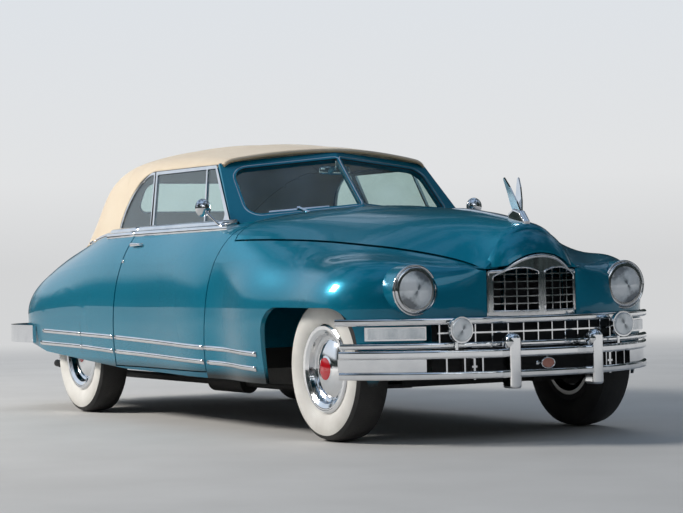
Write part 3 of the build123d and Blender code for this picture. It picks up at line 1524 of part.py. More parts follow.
front_bench = seat(FRONT_SEAT, FRONT_SEAT_HALF, FLOOR_Z + FLOOR_THICKNESS, (-200, 360))
tunnel_space = block(-1000, 900, -TUNNEL_HALF_WIDTH, TUNNEL_HALF_WIDTH, 300, 486)
finish(clipped(front_bench, tunnel_space), "front_seat")
rear_bench = seat(REAR_SEAT, REAR_SEAT_HALF, FLOOR_Z + FLOOR_THICKNESS, (-900, -600))
tunnel_rise = block(-950, -880, -TUNNEL_HALF_WIDTH - SEAT_GAP, TUNNEL_HALF_WIDTH + SEAT_GAP, 300, 493.5)
behind_kick = block(-1200, -940, -700, 700, 300, 575)
rails = joined(frame_half, mirrored(frame_half))
finish(clipped(rear_bench, tunnel_space, tunnel_rise, behind_kick, rails), "rear_seat")

# Dashboard, column and steering wheel
DASH_HALF = 640.0
DASH = [(700, 1230), (520, 1230), (492, 1130), (500, 980), (540, 900), (600, 900), (612, 960)]
WHEEL_CENTRE = (300.0, 400.0, 985.0)
COLUMN_LEAN = 30.0
STEERING_RADIUS = 220.0
column_axis = Vector(cos(radians(COLUMN_LEAN)), 0, -sin(radians(COLUMN_LEAN)))
HUB_LENGTH = 60.0


def along_column(distance):
    """A point on the steering axis."""
    return Vector(*WHEEL_CENTRE) + column_axis * distance


dash = common(side_slab(DASH, -DASH_HALF, DASH_HALF), joined(INNER, mirrored(INNER)))
column_end = (HOOD_REAR_X - FIREWALL_THICKNESS - WHEEL_CENTRE[0]) / column_axis.X + 40
column = rod(along_column(HUB_LENGTH + SEAT_GAP), along_column(column_end), 22)
column = clipped(column, block(HOOD_REAR_X - FIREWALL_THICKNESS, LENGTH, -FAR, FAR, 0, 1500))
bracket = block(545, 600, 370, 430, 820, 905)
finish(joined(dash, column, bracket), "dashboard")


def steering_wheel():
    """Rim, three spokes and hub."""
    with BuildPart() as wheel:
        with BuildSketch(Plane(origin=WHEEL_CENTRE, z_dir=column_axis)):
            Circle(32)
        extrude(amount=HUB_LENGTH)
        rim_plane = Plane(origin=WHEEL_CENTRE, x_dir=(0, 1, 0), z_dir=column_axis)
        with Locations(rim_plane):
            Torus(STEERING_RADIUS - 11, 11)
        with Locations(rim_plane):
            with PolarLocations(STEERING_RADIUS / 2 - 5, 3, start_angle=90):
                Box(STEERING_RADIUS - 20, 22, 9)
    return wheel.part


finish(steering_wheel(), "steering_wheel")


def right_wiper():
    """Arm and blade, resting on the right pane."""
    plane = shield_plane()
    surface = SHIELD_FRAME / 2 - GLASS / 2
    with BuildPart() as wiper:
        with BuildSketch(plane.offset(surface - 12)):
            with BuildLine():
                Polyline((200, 22), (560, 58), (558, 70), (198, 34), close=True)
            make_face()
        extrude(amount=12 - SEAT_GAP)
        with BuildSketch(plane.offset(-9)):
            with BuildLine():
                Polyline((300, -36), (314, -36), (394, 50), (378, 54), close=True)
            make_face()
        extrude(amount=9 - SEAT_GAP)
        with BuildSketch(plane.offset(-9)):
            with Locations((385, 48)):
                Rectangle(17, 12)
        extrude(amount=surface - 1)
        with BuildSketch(plane.offset(-14)):
            with Locations((306, -36)):
                Circle(15)
        extrude(amount=14)
    return wiper.part


wiper = clipped(right_wiper(), OUTER)
finish(Compound([wiper, mirrored(wiper)]), "wipers")

# Hood ornament, two raised blades on a low body
ORNAMENT_BASE = [
    (FRONT_X + 480, 1100), (FRONT_X + 640, 1070), (FRONT_X + 646, 1118), (FRONT_X + 600, 1172),
    (FRONT_X + 540, 1188), (FRONT_X + 488, 1160),
]
BLADE = [
    (FRONT_X + 596, 1150), (FRONT_X + 574, 1225), (FRONT_X + 540, 1300), (FRONT_X + 506, 1352),
    (FRONT_X + 498, 1345), (FRONT_X + 510, 1270), (FRONT_X + 514, 1215), (FRONT_X + 530, 1150),
]
BLADE_LEAN = 13.0


def plate(points, thickness):
    """A side-view outline made into a plate on the car's middle."""
    with BuildPart() as sheet:
        with BuildSketch(Plane.XZ.offset(-thickness / 2)):
            with BuildLine():
                Polyline(*points, close=True)
            make_face()
        extrude(amount=thickness)
    return sheet.part


low_body = fillet(plate(ORNAMENT_BASE, 40).edges().filter_by(Axis.Y, reverse=True), radius=14)
pivot = Pos(0, 0, ORNAMENT_BASE[3][1] - 20)
blades = [pivot * Rot(side * BLADE_LEAN, 0, 0) * pivot.inverse() * plate(BLADE, 9) for side in (-1, 1)]
ornament = joined(low_body, *blades)
finish(clipped(ornament, OUTER, mirrored(OUTER), hood), "hood_ornament")
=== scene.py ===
import math
import random

import bmesh
import bpy
from mathutils import Matrix, Vector
from mathutils.bvhtree import BVHTree


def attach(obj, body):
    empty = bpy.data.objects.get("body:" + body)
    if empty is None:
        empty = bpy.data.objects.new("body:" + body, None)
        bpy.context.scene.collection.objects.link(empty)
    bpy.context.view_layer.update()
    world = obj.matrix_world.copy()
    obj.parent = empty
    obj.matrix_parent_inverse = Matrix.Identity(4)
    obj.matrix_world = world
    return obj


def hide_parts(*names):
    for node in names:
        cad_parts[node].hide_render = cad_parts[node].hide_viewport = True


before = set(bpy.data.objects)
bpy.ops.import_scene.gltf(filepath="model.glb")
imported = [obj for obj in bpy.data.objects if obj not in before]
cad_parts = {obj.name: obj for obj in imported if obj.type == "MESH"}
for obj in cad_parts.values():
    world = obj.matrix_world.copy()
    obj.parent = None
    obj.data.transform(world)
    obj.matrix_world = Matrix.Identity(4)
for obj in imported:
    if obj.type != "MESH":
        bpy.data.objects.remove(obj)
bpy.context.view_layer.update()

random.seed(7)

# Places in metres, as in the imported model: the wheels, the bumper's blades, the lamps and the floor
FRONT_X = 1.8085
REAR_X = -1.4175
FRONT_WHEEL_Y = 0.7605
REAR_WHEEL_Y = 0.7685
AXLE_Z = 0.378
BUMPER_CENTRE_X = 1.470
BUMPER_BACK = 1.143
LATTICE_CENTRE_X = 1.306
LAMP_Y = 0.647
LAMP_Z = 0.780
FOG_Y = 0.495
FOG_Z = 0.580
SILL_Y = 0.895
TOE_X = 0.862
WHITEWALL = (0.2, 0.3455)
TREAD_RADIUS = 0.3625
RED_RADIUS = 0.058


# Node materials
class Nodes:
    """Short calls for building the nodes of a material or a world."""

    def __init__(self, holder):
        self.tree = holder.node_tree
        self.shader = self.tree.nodes.get("Principled BSDF")

    def set(self, socket, value):
        """Links another node's output to a socket, or sets the socket itself."""
        if hasattr(value, "links"):
            self.tree.links.new(value, socket)
        else:
            socket.default_value = (*value, 1.0) if isinstance(value, tuple) else value

    def add(self, kind, sockets=None, **values):
        """A node with its settings and its sockets."""
        node = self.tree.nodes.new(kind)
        for key, value in values.items():
            setattr(node, key, value)
        for key, value in (sockets or {}).items():
            self.set(node.inputs[key], value)
        return node

    def fit(self, **values):
        """Sets or links the shader's sockets, with _ for the spaces in their names."""
        for name, value in values.items():
            self.set(self.shader.inputs[name.replace("_", " ")], value)

    def place(self):
        """Object coordinates, in metres."""
        return self.add("ShaderNodeTexCoord").outputs["Object"]

    def split(self, source=None):
        """The X, Y and Z of a vector, or else of the object coordinates."""
        parts = self.add("ShaderNodeSeparateXYZ", {"Vector": source or self.place()}).outputs
        return parts["X"], parts["Y"], parts["Z"]

    def noise(self, scale, detail=4.0, rough=0.5):
        sockets = {"Scale": scale, "Detail": detail, "Roughness": rough, "Vector": self.place()}
        return self.add("ShaderNodeTexNoise", sockets).outputs["Fac"]

    def ramp(self, source, stops):
        """Colours between stops of (place, colour or grey)."""
        node = self.add("ShaderNodeValToRGB", {"Fac": source})
        band = node.color_ramp
        while len(band.elements) < len(stops):
            band.elements.new(0.5)
        for element, (at, colour) in zip(band.elements, stops):
            element.position = at
            element.color = (*(colour if isinstance(colour, tuple) else (colour,) * 3), 1.0)
        return node.outputs["Color"]

    def maths(self, operation, a, b=0.0, c=0.0):
        return self.add("ShaderNodeMath", {0: a, 1: b, 2: c}, operation=operation).outputs["Value"]

    def minus(self, a, b):
        return self.maths("SUBTRACT", a, b)

    def times(self, a, b):
        return self.maths("MULTIPLY", a, b)

    def over(self, a, b):
        """1 where a is greater than b."""
        return self.maths("GREATER_THAN", a, b)

    def sine(self, a, scale, shift=0.0):
        return self.maths("SINE", self.maths("MULTIPLY_ADD", a, scale, shift))

    def length(self, a, b):
        """The length of (a, b)."""
        return self.maths("SQRT", self.maths("ADD", self.times(a, a), self.times(b, b)))

    def fade(self, source, start, end, **values):
        """0 to 1 as a value goes from the start to the end."""
        sockets = {"Value": source, "From Min": start, "From Max": end}
        return self.add("ShaderNodeMapRange", sockets, **values).outputs["Result"]

    def blend(self, factor, first, second):
        sockets = {"Factor": factor, "A": first, "B": second}
        return self.add("ShaderNodeMix", sockets, data_type="RGBA").outputs["Result"]

    def bump(self, height, strength, distance, **under):
        """A relief for the shader, on top of another one if it is given as Normal."""
        sockets = {"Height": height, "Strength": strength, "Distance": distance, **under}
        self.fit(Normal=self.add("ShaderNodeBump", sockets).outputs["Normal"])

    def mixed(self, factor, first, second):
        """Two shaders mixed, to the material's output."""
        mix = self.add("ShaderNodeMixShader", {"Fac": factor, 1: first.outputs[0], 2: second.outputs[0]})
        self.set(self.tree.nodes["Material Output"].inputs["Surface"], mix.outputs["Shader"])

    def seen(self):
        """1 for the rays of the camera, of gloss and through glass."""
        rays = self.add("ShaderNodeLightPath").outputs
        first = self.maths("MAXIMUM", rays["Is Camera Ray"], rays["Is Glossy Ray"])
        return self.maths("MAXIMUM", first, rays["Is Transmission Ray"])


def new_material(name):
    """A node material and the calls that build it."""
    mat = bpy.data.materials.new(name)
    mat.use_nodes = True
    return mat, Nodes(mat)


BRIGHT = [(0.3, (0.74, 0.75, 0.77)), (0.7, (0.86, 0.87, 0.88))]
CARPET_LOW = (0.09, 0.06, 0.04)
CARPET_HIGH = (0.16, 0.11, 0.075)


def paint():
    """Deep teal metallic paint under clear lacquer, with painted shade that turns it near black at its lowest edge.
    """
    mat, n = new_material("teal_paint")
    flake = n.noise(900.0, 1.0)
    base = n.ramp(n.noise(1.4, 2.0), [(0.3, (0.0, 0.165, 0.262)), (0.7, (0.0, 0.185, 0.290))])
    lit = n.blend(n.ramp(flake, [(0.45, 0.0), (0.75, 0.35)]), base, (0.0, 0.30, 0.44))
    # Painted shade: below about 0.37 m the paint fades to near black, for the shade under the body.
    low = n.fade(n.split()[2], 0.37, 0.31)
    n.fit(Base_Color=n.blend(low, lit, (0.004, 0.010, 0.012)))
    n.fit(Roughness=n.ramp(flake, [(0.3, 0.24), (0.7, 0.34)]))
    n.fit(Metallic=0.4, Specular_IOR_Level=0.2, Coat_Weight=0.8, Coat_IOR=1.4, Coat_Roughness=0.025)
    n.bump(n.noise(55.0, 2.0), 0.06, 0.0006)
    return mat


def chrome():
    """Polished chrome with faint hazing."""
    mat, n = new_material("bright_chrome")
    haze = n.noise(9.0, 5.0)
    n.fit(Base_Color=n.ramp(haze, BRIGHT))
    n.fit(Roughness=n.ramp(haze, [(0.3, 0.05), (0.75, 0.12)]), Metallic=1.0)
    n.bump(n.noise(30.0, 2.0), 0.05, 0.0005)
    return mat


def bumper_chrome():
    """Chrome on the blades, black on the irons behind them."""
    mat, n = new_material("bumper_chrome")
    haze = n.noise(9.0, 5.0)
    x, y, z = n.split()
    front = n.over(n.length(n.minus(x, BUMPER_CENTRE_X), y), BUMPER_BACK)
    n.fit(Base_Color=n.blend(front, (0.014, 0.014, 0.015), n.ramp(haze, BRIGHT)))
    n.fit(Metallic=front)
    n.fit(Roughness=n.blend(front, (0.7, 0.7, 0.7), n.ramp(haze, [(0.3, 0.04), (0.75, 0.10)])))
    n.bump(n.noise(30.0, 2.0), 0.05, 0.0005)
    return mat


def glass(name, tint, clear):
    """Clear glass: mostly see-through, with a mirror-like sheen at a slant."""
    mat, n = new_material(name)
    n.tree.nodes.remove(n.shader)
    tone = n.ramp(n.noise(3.0, 2.0), [(0.3, tuple(v * 0.97 for v in tint)), (0.7, tint)])
    through = n.add("ShaderNodeBsdfTransparent", {"Color": tone})
    sheen = n.add("ShaderNodeBsdfGlossy", {"Roughness": 0.015, "Color": (0.95, 0.97, 1.0)})
    slant = n.add("ShaderNodeLayerWeight", {"Blend": 0.5}).outputs["Facing"]
    share = n.maths("MULTIPLY_ADD", n.maths("POWER", slant, 4.0), 0.8, clear)
    n.mixed(share, through, sheen)
    return mat


def plain(name, low, high, rough, grain=60.0, relief=0.2, depth=0.0008):
    """A solid finish with a two-tone mottle and a fine relief."""
    mat, n = new_material(name)
    mottle = n.noise(grain, 5.0)
    n.fit(Base_Color=n.ramp(mottle, [(0.3, low), (0.7, high)]))
    n.fit(Roughness=n.ramp(mottle, [(0.3, max(rough - 0.08, 0.02)), (0.7, rough)]), Metallic=0.0)
    n.bump(n.noise(grain * 4, 3.0), relief, depth)
    return mat


def canvas():
    """Woven tan top fabric, slightly weathered."""
    mat, n = new_material("tan_canvas")
    weave = {"Vector": n.place(), "Scale": 160.0, "Distortion": 0.6, "Detail": 1.0}
    thread = n.times(*(n.add("ShaderNodeTexWave", weave, bands_direction=d).outputs["Fac"] for d in ("X", "Y")))
    stain = n.noise(2.6, 6.0, 0.6)
    base = n.ramp(stain, [(0.25, (0.68, 0.55, 0.40)), (0.55, (0.75, 0.64, 0.485)), (0.8, (0.80, 0.70, 0.55))])
    n.fit(Base_Color=n.blend(n.times(thread, 0.2), base, (0.50, 0.38, 0.25)))
    n.fit(Roughness=0.92, Sheen_Weight=0.35, Sheen_Roughness=0.5)
    crease = n.add("ShaderNodeBump", {"Height": n.noise(7.0, 4.0, 0.55), "Strength": 0.35, "Distance": 0.006})
    n.bump(thread, 0.5, 0.0006, Normal=crease.outputs["Normal"])
    return mat


def leather(name, low, high):
    """Grained leather in two mottled tones."""
    mat, n = new_material(name)
    tone = n.noise(5.0, 6.0)
    n.fit(Base_Color=n.ramp(tone, [(0.3, low), (0.7, high)]))
    cells = n.add("ShaderNodeTexVoronoi", {"Vector": n.place(), "Scale": 420.0}, feature="DISTANCE_TO_EDGE")
    n.fit(Roughness=n.ramp(tone, [(0.3, 0.38), (0.7, 0.52)]))
    n.bump(cells.outputs["Distance"], 0.3, 0.0006)
    return mat


def wheel_place(n, wheel_x):
    """The offsets from a wheel's axle, the radius round it and the distance from the car's middle."""
    x, y, z = n.split()
    dx, dz = n.minus(x, wheel_x), n.minus(z, AXLE_Z)
    return dx, dz, n.length(dx, dz), n.maths("ABSOLUTE", y)


def tyre(name, wheel_x, wheel_y):
    """Black rubber with a white outer sidewall and a block tread."""
    mat, n = new_material(name)
    dx, dz, radius, side = wheel_place(n, wheel_x)
    outboard = n.over(side, wheel_y + 0.02)
    white = n.times(n.times(outboard, n.over(radius, WHITEWALL[0])), n.maths("LESS_THAN", radius, WHITEWALL[1]))
    dust = n.noise(6.0, 5.0)
    black = n.ramp(dust, [(0.3, (0.012, 0.012, 0.013)), (0.8, (0.035, 0.033, 0.031))])
    pale = n.ramp(dust, [(0.3, (0.62, 0.60, 0.56)), (0.75, (0.78, 0.77, 0.73))])
    n.fit(Base_Color=n.blend(white, black, pale), Roughness=0.72)
    angle = n.maths("ARCTAN2", dz, dx)
    zigzag = n.times(n.sine(angle, 84.0), 0.004)
    grooves = n.over(n.sine(n.maths("ADD", n.minus(side, wheel_y), zigzag), 190.0), -0.55)
    tread = n.over(radius, TREAD_RADIUS)
    cuts = n.over(n.sine(angle, 168.0), -0.8)
    pattern = n.times(n.times(grooves, cuts), tread)
    ring = n.times(n.sine(radius, 900.0), 0.06)
    n.bump(n.maths("ADD", n.maths("ADD", pattern, n.minus(1.0, tread)), ring), 0.9, 0.005)
    return mat


def wheel_finish(name, wheel_x, wheel_y):
    """Chrome wheel and cap with a red middle, dark behind the disc."""
    mat, n = new_material(name)
    _, _, radius, side = wheel_place(n, wheel_x)
    outer = n.over(side, wheel_y + 0.032)
    red = n.times(outer, n.maths("LESS_THAN", radius, RED_RADIUS))
    haze = n.noise(12.0, 4.0)
    bright = n.ramp(haze, [(0.3, (0.76, 0.77, 0.79)), (0.7, (0.86, 0.87, 0.88))])
    n.fit(Base_Color=n.blend(red, n.blend(outer, (0.02, 0.02, 0.022), bright), (0.42, 0.006, 0.012)))
    n.fit(Metallic=n.times(outer, n.minus(1.0, red)))
    n.fit(Roughness=n.ramp(haze, [(0.3, 0.06), (0.7, 0.14)]), Coat_Weight=0.6)
    n.bump(n.times(n.sine(radius, 700.0), n.times(n.over(radius, 0.17), outer)), 0.08, 0.001)
    return mat


def floor_finish():
    """Carpet above, black below, and body colour on the outer sills."""
    mat, n = new_material("floor_and_sills")
    x, y, z = n.split()
    sill = n.over(n.maths("ABSOLUTE", y), SILL_Y)
    up = n.split(n.add("ShaderNodeNewGeometry").outputs["Normal"])[2]
    above = n.times(n.over(up, -0.2), n.maths("LESS_THAN", x, TOE_X))
    pile = n.noise(240.0, 5.0)
    inner = n.blend(above, (0.016, 0.016, 0.016), n.ramp(pile, [(0.3, CARPET_LOW), (0.7, CARPET_HIGH)]))
    n.fit(Base_Color=n.blend(sill, inner, (0.0, 0.11, 0.18)))
    n.fit(Roughness=n.minus(0.92, n.times(sill, 0.6)))
    n.bump(pile, 0.4, 0.0015)
    return mat


def lens_glass():
    """Fluted clear glass whose colour is a painted reflection of a bright reflector bowl, in fans and rings of light
    and dark.
    """
    mat, n = new_material("fluted_lens")
    x, y, z = n.split()
    high = n.over(z, 0.66)
    centre_y = n.maths("MULTIPLY_ADD", high, LAMP_Y - FOG_Y, FOG_Y)
    centre_z = n.maths("MULTIPLY_ADD", high, LAMP_Z - FOG_Z, FOG_Z)
    dy = n.minus(n.maths("ABSOLUTE", y), centre_y)
    dz = n.minus(z, centre_z)
    radius, angle = n.length(dy, dz), n.maths("ARCTAN2", dz, dy)
    # Painted reflection: the mottle, rings and fans below stand for the lit reflector seen through the lens.
    mottle = n.maths("MULTIPLY_ADD", n.noise(60.0, 2.0), 0.25, 0.375)
    rings = n.maths("MULTIPLY_ADD", n.sine(radius, 70.0, -1.3), 0.10, mottle)
    reflection_fans = n.maths("MULTIPLY_ADD", n.sine(angle, 2.0, 0.5), 0.22, rings)
    tone = n.ramp(reflection_fans, [(0.26, (0.20, 0.22, 0.24)), (0.42, (0.70, 0.74, 0.76)), (0.66, (0.93, 0.95, 0.96))])
    n.fit(Base_Color=tone, Metallic=0.15, Roughness=0.16, Coat_Weight=1.0, Coat_Roughness=0.02)
    n.bump(n.sine(y, 1150.0), 0.4, 0.0012)
    return mat


PAINT = paint()
CHROME = chrome()
BUMPER_CHROME = bumper_chrome()
GLASS = glass("window_glass", (0.88, 0.95, 0.935), 0.045)
UNDER = plain("underbody_black", (0.012, 0.012, 0.012), (0.03, 0.029, 0.028), 0.75)
RUBBER = plain("black_rubber", (0.010, 0.010, 0.011), (0.022, 0.022, 0.023), 0.6, grain=25.0)
IRON = plain("engine_enamel", (0.05, 0.075, 0.06), (0.08, 0.11, 0.09), 0.55)
CARPET = plain("brown_carpet", CARPET_LOW, CARPET_HIGH, 0.95, grain=240.0, relief=0.6, depth=0.002)
CABIN = plain("cabin_enamel", (0.035, 0.065, 0.075), (0.045, 0.08, 0.09), 0.35, grain=20.0, relief=0.05)
FLOOR_PAN = floor_finish()
CANVAS = canvas()
CANVAS_EDGE = plain("canvas_binding", (0.40, 0.29, 0.17), (0.52, 0.39, 0.24), 0.9, grain=180.0, relief=0.5)
LEATHER = leather("tan_leather", (0.34, 0.23, 0.13), (0.45, 0.31, 0.19))
IVORY = plain("ivory_plastic", (0.62, 0.56, 0.44), (0.70, 0.64, 0.52), 0.3, grain=14.0, relief=0.05)
PIPING = plain("seat_piping", (0.10, 0.16, 0.17), (0.14, 0.22, 0.23), 0.5, grain=90.0)
RED_LENS = plain("red_glass", (0.30, 0.004, 0.004), (0.42, 0.01, 0.01), 0.12, grain=40.0, relief=0.3)
LENS = lens_glass()
ENAMEL = plain("muted_enamel", (0.40, 0.16, 0.12), (0.48, 0.21, 0.16), 0.25, grain=30.0, relief=0.05)
# A near-black finish for the sheets of painted shade behind the grilles.
SHADE = plain("grille_shade", (0.006, 0.006, 0.007), (0.014, 0.014, 0.015), 0.85)

NODE_FINISH = (
    (UNDER, "chassis_frame exhaust fuel_tank rear_axle knuckle_right knuckle_left"),
    (FLOOR_PAN, "floor_pan"),
    (IRON, "engine_block"),
    (PAINT, "fender_right fender_left cowl rear_body door_right door_left hood trunk_lid"),
    (GLASS, "windshield_glass rear_glass door_right_glass door_left_glass"),
    (CHROME, "quarter_frames grille lower_grille front_lamps rear_bumper wipers door_right_trim door_left_trim"),
    (CHROME, "hood_ornament"),
    (BUMPER_CHROME, "front_bumper"),
    (LENS, "lamp_lenses"),
    (RED_LENS, "tail_lamps"),
    (LEATHER, "front_seat rear_seat"),
    (CABIN, "dashboard"),
    (IVORY, "steering_wheel"),
    (CANVAS, "soft_top"),
    (tyre("tyre_front", FRONT_X, FRONT_WHEEL_Y), "tyre_front_right tyre_front_left"),
    (tyre("tyre_rear", REAR_X, REAR_WHEEL_Y), "tyre_rear_right tyre_rear_left"),
    (wheel_finish("wheel_front", FRONT_X, FRONT_WHEEL_Y), "wheel_front_right wheel_front_left"),
    (wheel_finish("wheel_rear", REAR_X, REAR_WHEEL_Y), "wheel_rear_right wheel_rear_left"),
)
for material, nodes in NODE_FINISH:
    for node in nodes.split():
        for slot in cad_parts[node].material_slots:
            slot.material = material


# Small building calls
def new_object(name, data):
    """An object in the scene."""
    obj = bpy.data.objects.new(name, data)
    bpy.context.collection.objects.link(obj)
    return obj


def new_mesh(name, verts, faces):
    """A mesh from points and faces."""
    mesh = bpy.data.meshes.new(name)
    mesh.from_pydata([tuple(v) for v in verts], [], faces)
    return mesh


def carried(name, data, material, body="chassis"):
    """An object in one material that rides on a body."""
    data.materials.append(material)
    obj = new_object(name, data)
    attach(obj, body)
    return obj


def skin(rows, width, open_rows=False):
    """The faces over rows of points, each row a closed ring or left open."""
    faces = []
    for row in range(rows - 1):
        for i in range(width - open_rows):
            a, b = row * width + i, row * width + (i + 1) % width
            faces.append((a, b, b + width, a + width))
    return faces


def outward(mesh):
    """Turns every face of a closed mesh outward."""
    joined = bmesh.new()
    joined.from_mesh(mesh)
    bmesh.ops.recalc_face_normals(joined, faces=joined.faces)
    joined.to_mesh(mesh)
    joined.free()
    return mesh


def closed_mesh(name, verts, width):
    """A closed mesh over rings of points, with a face over each end ring."""
    total = len(verts)
    ends = [tuple(range(width))[::-1], tuple(range(total - width, total))]
    return outward(new_mesh(name, verts, skin(total // width, width) + ends))


def add_closed(name, verts, width, material=CHROME, body="chassis"):
    """A smooth closed piece over rings of points."""
    mesh = closed_mesh(name, verts, width)
    mesh.shade_smooth()
    return carried(name, mesh, material, body)


def circle(count):
    """The cosine and sine of even steps round a circle."""
    angles = [2 * math.pi * i / count for i in range(count)]
    return [(math.cos(a), math.sin(a)) for a in angles]


def add_tube(name, points, radius, material=CHROME, body="chassis", closed=False, sides=3):
    """A round line through points."""
    data = bpy.data.curves.new(name, "CURVE")
    data.dimensions = "3D"
    data.bevel_depth = radius
    data.bevel_resolution = sides
    data.use_fill_caps = True
    spline = data.splines.new("POLY")
    spline.points.add(len(points) - 1)
    for target, point in zip(spline.points, points):
        target.co = (*point, 1.0)
    spline.use_cyclic_u = closed
    return carried(name, data, material, body)


def both_sides(build):
    """Runs a builder for the right and the left side."""
    for side, sign in (("right", -1.0), ("left", 1.0)):
        build(side, sign)


def surface_of(*names):
    """A tree of a CAD node's faces for finding points on it."""
    joined = bmesh.new()
    for name in names:
        joined.from_mesh(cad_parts[name].data)
    tree = BVHTree.FromBMesh(joined)
    joined.free()
    return tree


def smooth_value(rows, column, s):
    """A column of a table at a fractional row, on a smooth curve through the rows."""
    last = len(rows) - 1
    i = min(int(s), last - 1)
    t = s - i
    p0, p1 = rows[max(i - 1, 0)][column], rows[i][column]
    p2, p3 = rows[i + 1][column], rows[min(i + 2, last)][column]
    m1 = (p2 - p0) / 2 if i else p2 - p1
    m2 = (p3 - p1) / 2 if i + 1 < last else p2 - p1
    return (
        (2 * t**3 - 3 * t**2 + 1) * p1 + (t**3 - 2 * t**2 + t) * m1
        + (-2 * t**3 + 3 * t**2) * p2 + (t**3 - t**2) * m2
    )


def runs_of(points):
    """How far along a broken line each of its points is."""
    runs = [0.0]
    for a, b in zip(points, points[1:]):
        runs.append(runs[-1] + math.dist(a, b))
    return runs


def resample(points, count):
    """Points evenly along a broken line."""
    runs = runs_of(points)
    result, j = [], 0
    for i in range(count):
        want = runs[-1] * i / (count - 1)
        while j < len(runs) - 2 and runs[j + 1] < want:
            j += 1
        t = (want - runs[j]) / max(runs[j + 1] - runs[j], 1e-9)
        result.append(tuple(a + (b - a) * t for a, b in zip(points[j], points[j + 1])))
    return result


def line(a, b, count):
    """Numbers evenly between two ends."""
    return [a + (b - a) * i / (count - 1) for i in range(count)]


# Raised top: x, base half width, corner half width, corner z, top z, corner radius
TOP = [
    (0.5205, 0.783, 0.690, 1.528, 1.592, 0.100),
    (0.3005, 0.800, 0.692, 1.538, 1.620, 0.110),
    (0.0605, 0.813, 0.692, 1.546, 1.643, 0.120),
    (-0.1795, 0.818, 0.692, 1.552, 1.660, 0.130),
    (-0.4195, 0.820, 0.692, 1.556, 1.670, 0.130),
    (-0.6595, 0.820, 0.690, 1.555, 1.674, 0.140),
    (-0.9005, 0.820, 0.686, 1.545, 1.668, 0.140),
    (-1.1105, 0.818, 0.676, 1.520, 1.645, 0.140),
    (-1.2905, 0.812, 0.656, 1.475, 1.597, 0.140),
    (-1.4305, 0.800, 0.630, 1.400, 1.515, 0.130),
    (-1.5305, 0.783, 0.605, 1.310, 1.410, 0.110),
    (-1.6005, 0.763, 0.585, 1.225, 1.305, 0.070),
    (-1.6605, 0.743, 0.570, 1.150, 1.205, 0.030),
    (-1.7005, 0.728, 0.560, 1.105, 1.132, 0.010),
]
TOP_BASE_Z = 0.990
CANVAS_FRONT_ROW = 0.2
BOWS = (0.35, -0.08, -0.52, -0.95, -1.28)
SAG = 0.005
CLOTH = 0.006
COLUMNS = 44
WELT_COLUMN = 26
WINDOW_TOP_Z = 1.512
WINDOW_ARC = ((-0.570, 1.512), (-0.800, 1.400), (-0.925, 1.195))
REAR_WINDOW_Z = 1.385


def top_section(s):
    """Points of the right half section at a fractional row, from the middle down to the base."""
    x, base, corner, corner_z, top_z, radius = (smooth_value(TOP, c, s) for c in range(6))
    drop = top_z - corner_z
    bend = (corner**2 + drop**2) / (2 * drop)
    points = []
    reach = min(0.74 * radius, 0.45 * corner)
    for i in range(31):
        y = (corner - reach) * i / 30
        points.append((y, top_z - bend + math.sqrt(bend**2 - y**2)))
    start = points[-1]
    slope = Vector((base - corner, TOP_BASE_Z - corner_z)).normalized()
    low = (corner + slope.x * reach, corner_z + slope.y * reach)
    for i in range(1, 13):
        t = i / 12
        points.append(tuple(
            (1 - t) ** 2 * a + 2 * t * (1 - t) * b + t**2 * c for a, b, c in zip(start, (corner, corner_z), low)
        ))
    for i in range(1, 41):
        t = i / 40
        points.append((low[0] + (base - low[0]) * t, low[1] + (TOP_BASE_Z - low[1]) * t))
    return x, points


def arc_through(a, b, c):
    """Centre and radius of the circle through three points in a plane."""
    d = 2 * (a[0] * (b[1] - c[1]) + b[0] * (c[1] - a[1]) + c[0] * (a[1] - b[1]))
    aa, bb, cc = (p[0] ** 2 + p[1] ** 2 for p in (a, b, c))
    ux = (aa * (b[1] - c[1]) + bb * (c[1] - a[1]) + cc * (a[1] - b[1])) / d
    uy = (aa * (c[0] - b[0]) + bb * (a[0] - c[0]) + cc * (b[0] - a[0])) / d
    return ux, uy, math.hypot(a[0] - ux, a[1] - uy)


ARC_X, ARC_Z, ARC_R = arc_through(*WINDOW_ARC)


def lower_limit(x, points, body):
    """The height of the top's lower edge: over the side windows, or where it meets the body."""
    if x > WINDOW_ARC[0][0]:
        return WINDOW_TOP_Z
    if x > WINDOW_ARC[2][0]:
        return ARC_Z + math.sqrt(max(ARC_R**2 - (x - ARC_X) ** 2, 0.0))
    for y, z in points[30:]:
        if body.find_nearest(Vector((x, -y, z)))[3] < 0.004:
            return z
    return 1.0


def clip_low(points, limit):
    """A half section cut at a height."""
    kept = [points[0]]
    for a, b in zip(points, points[1:]):
        if b[1] < limit:
            t = (a[1] - limit) / (a[1] - b[1])
            kept.append((a[0] + (b[0] - a[0]) * t, limit))
            break
        kept.append(b)
    return kept


def whole(half, dx=0.0, dz=0.0):
    """A line of points on the left and its mirror, from the right end to the left."""
    right = [(p.x + dx, -p.y, p.z + dz) for p in reversed(half)]
    return right + [(p.x + dx, p.y, p.z + dz) for p in half[1:]]


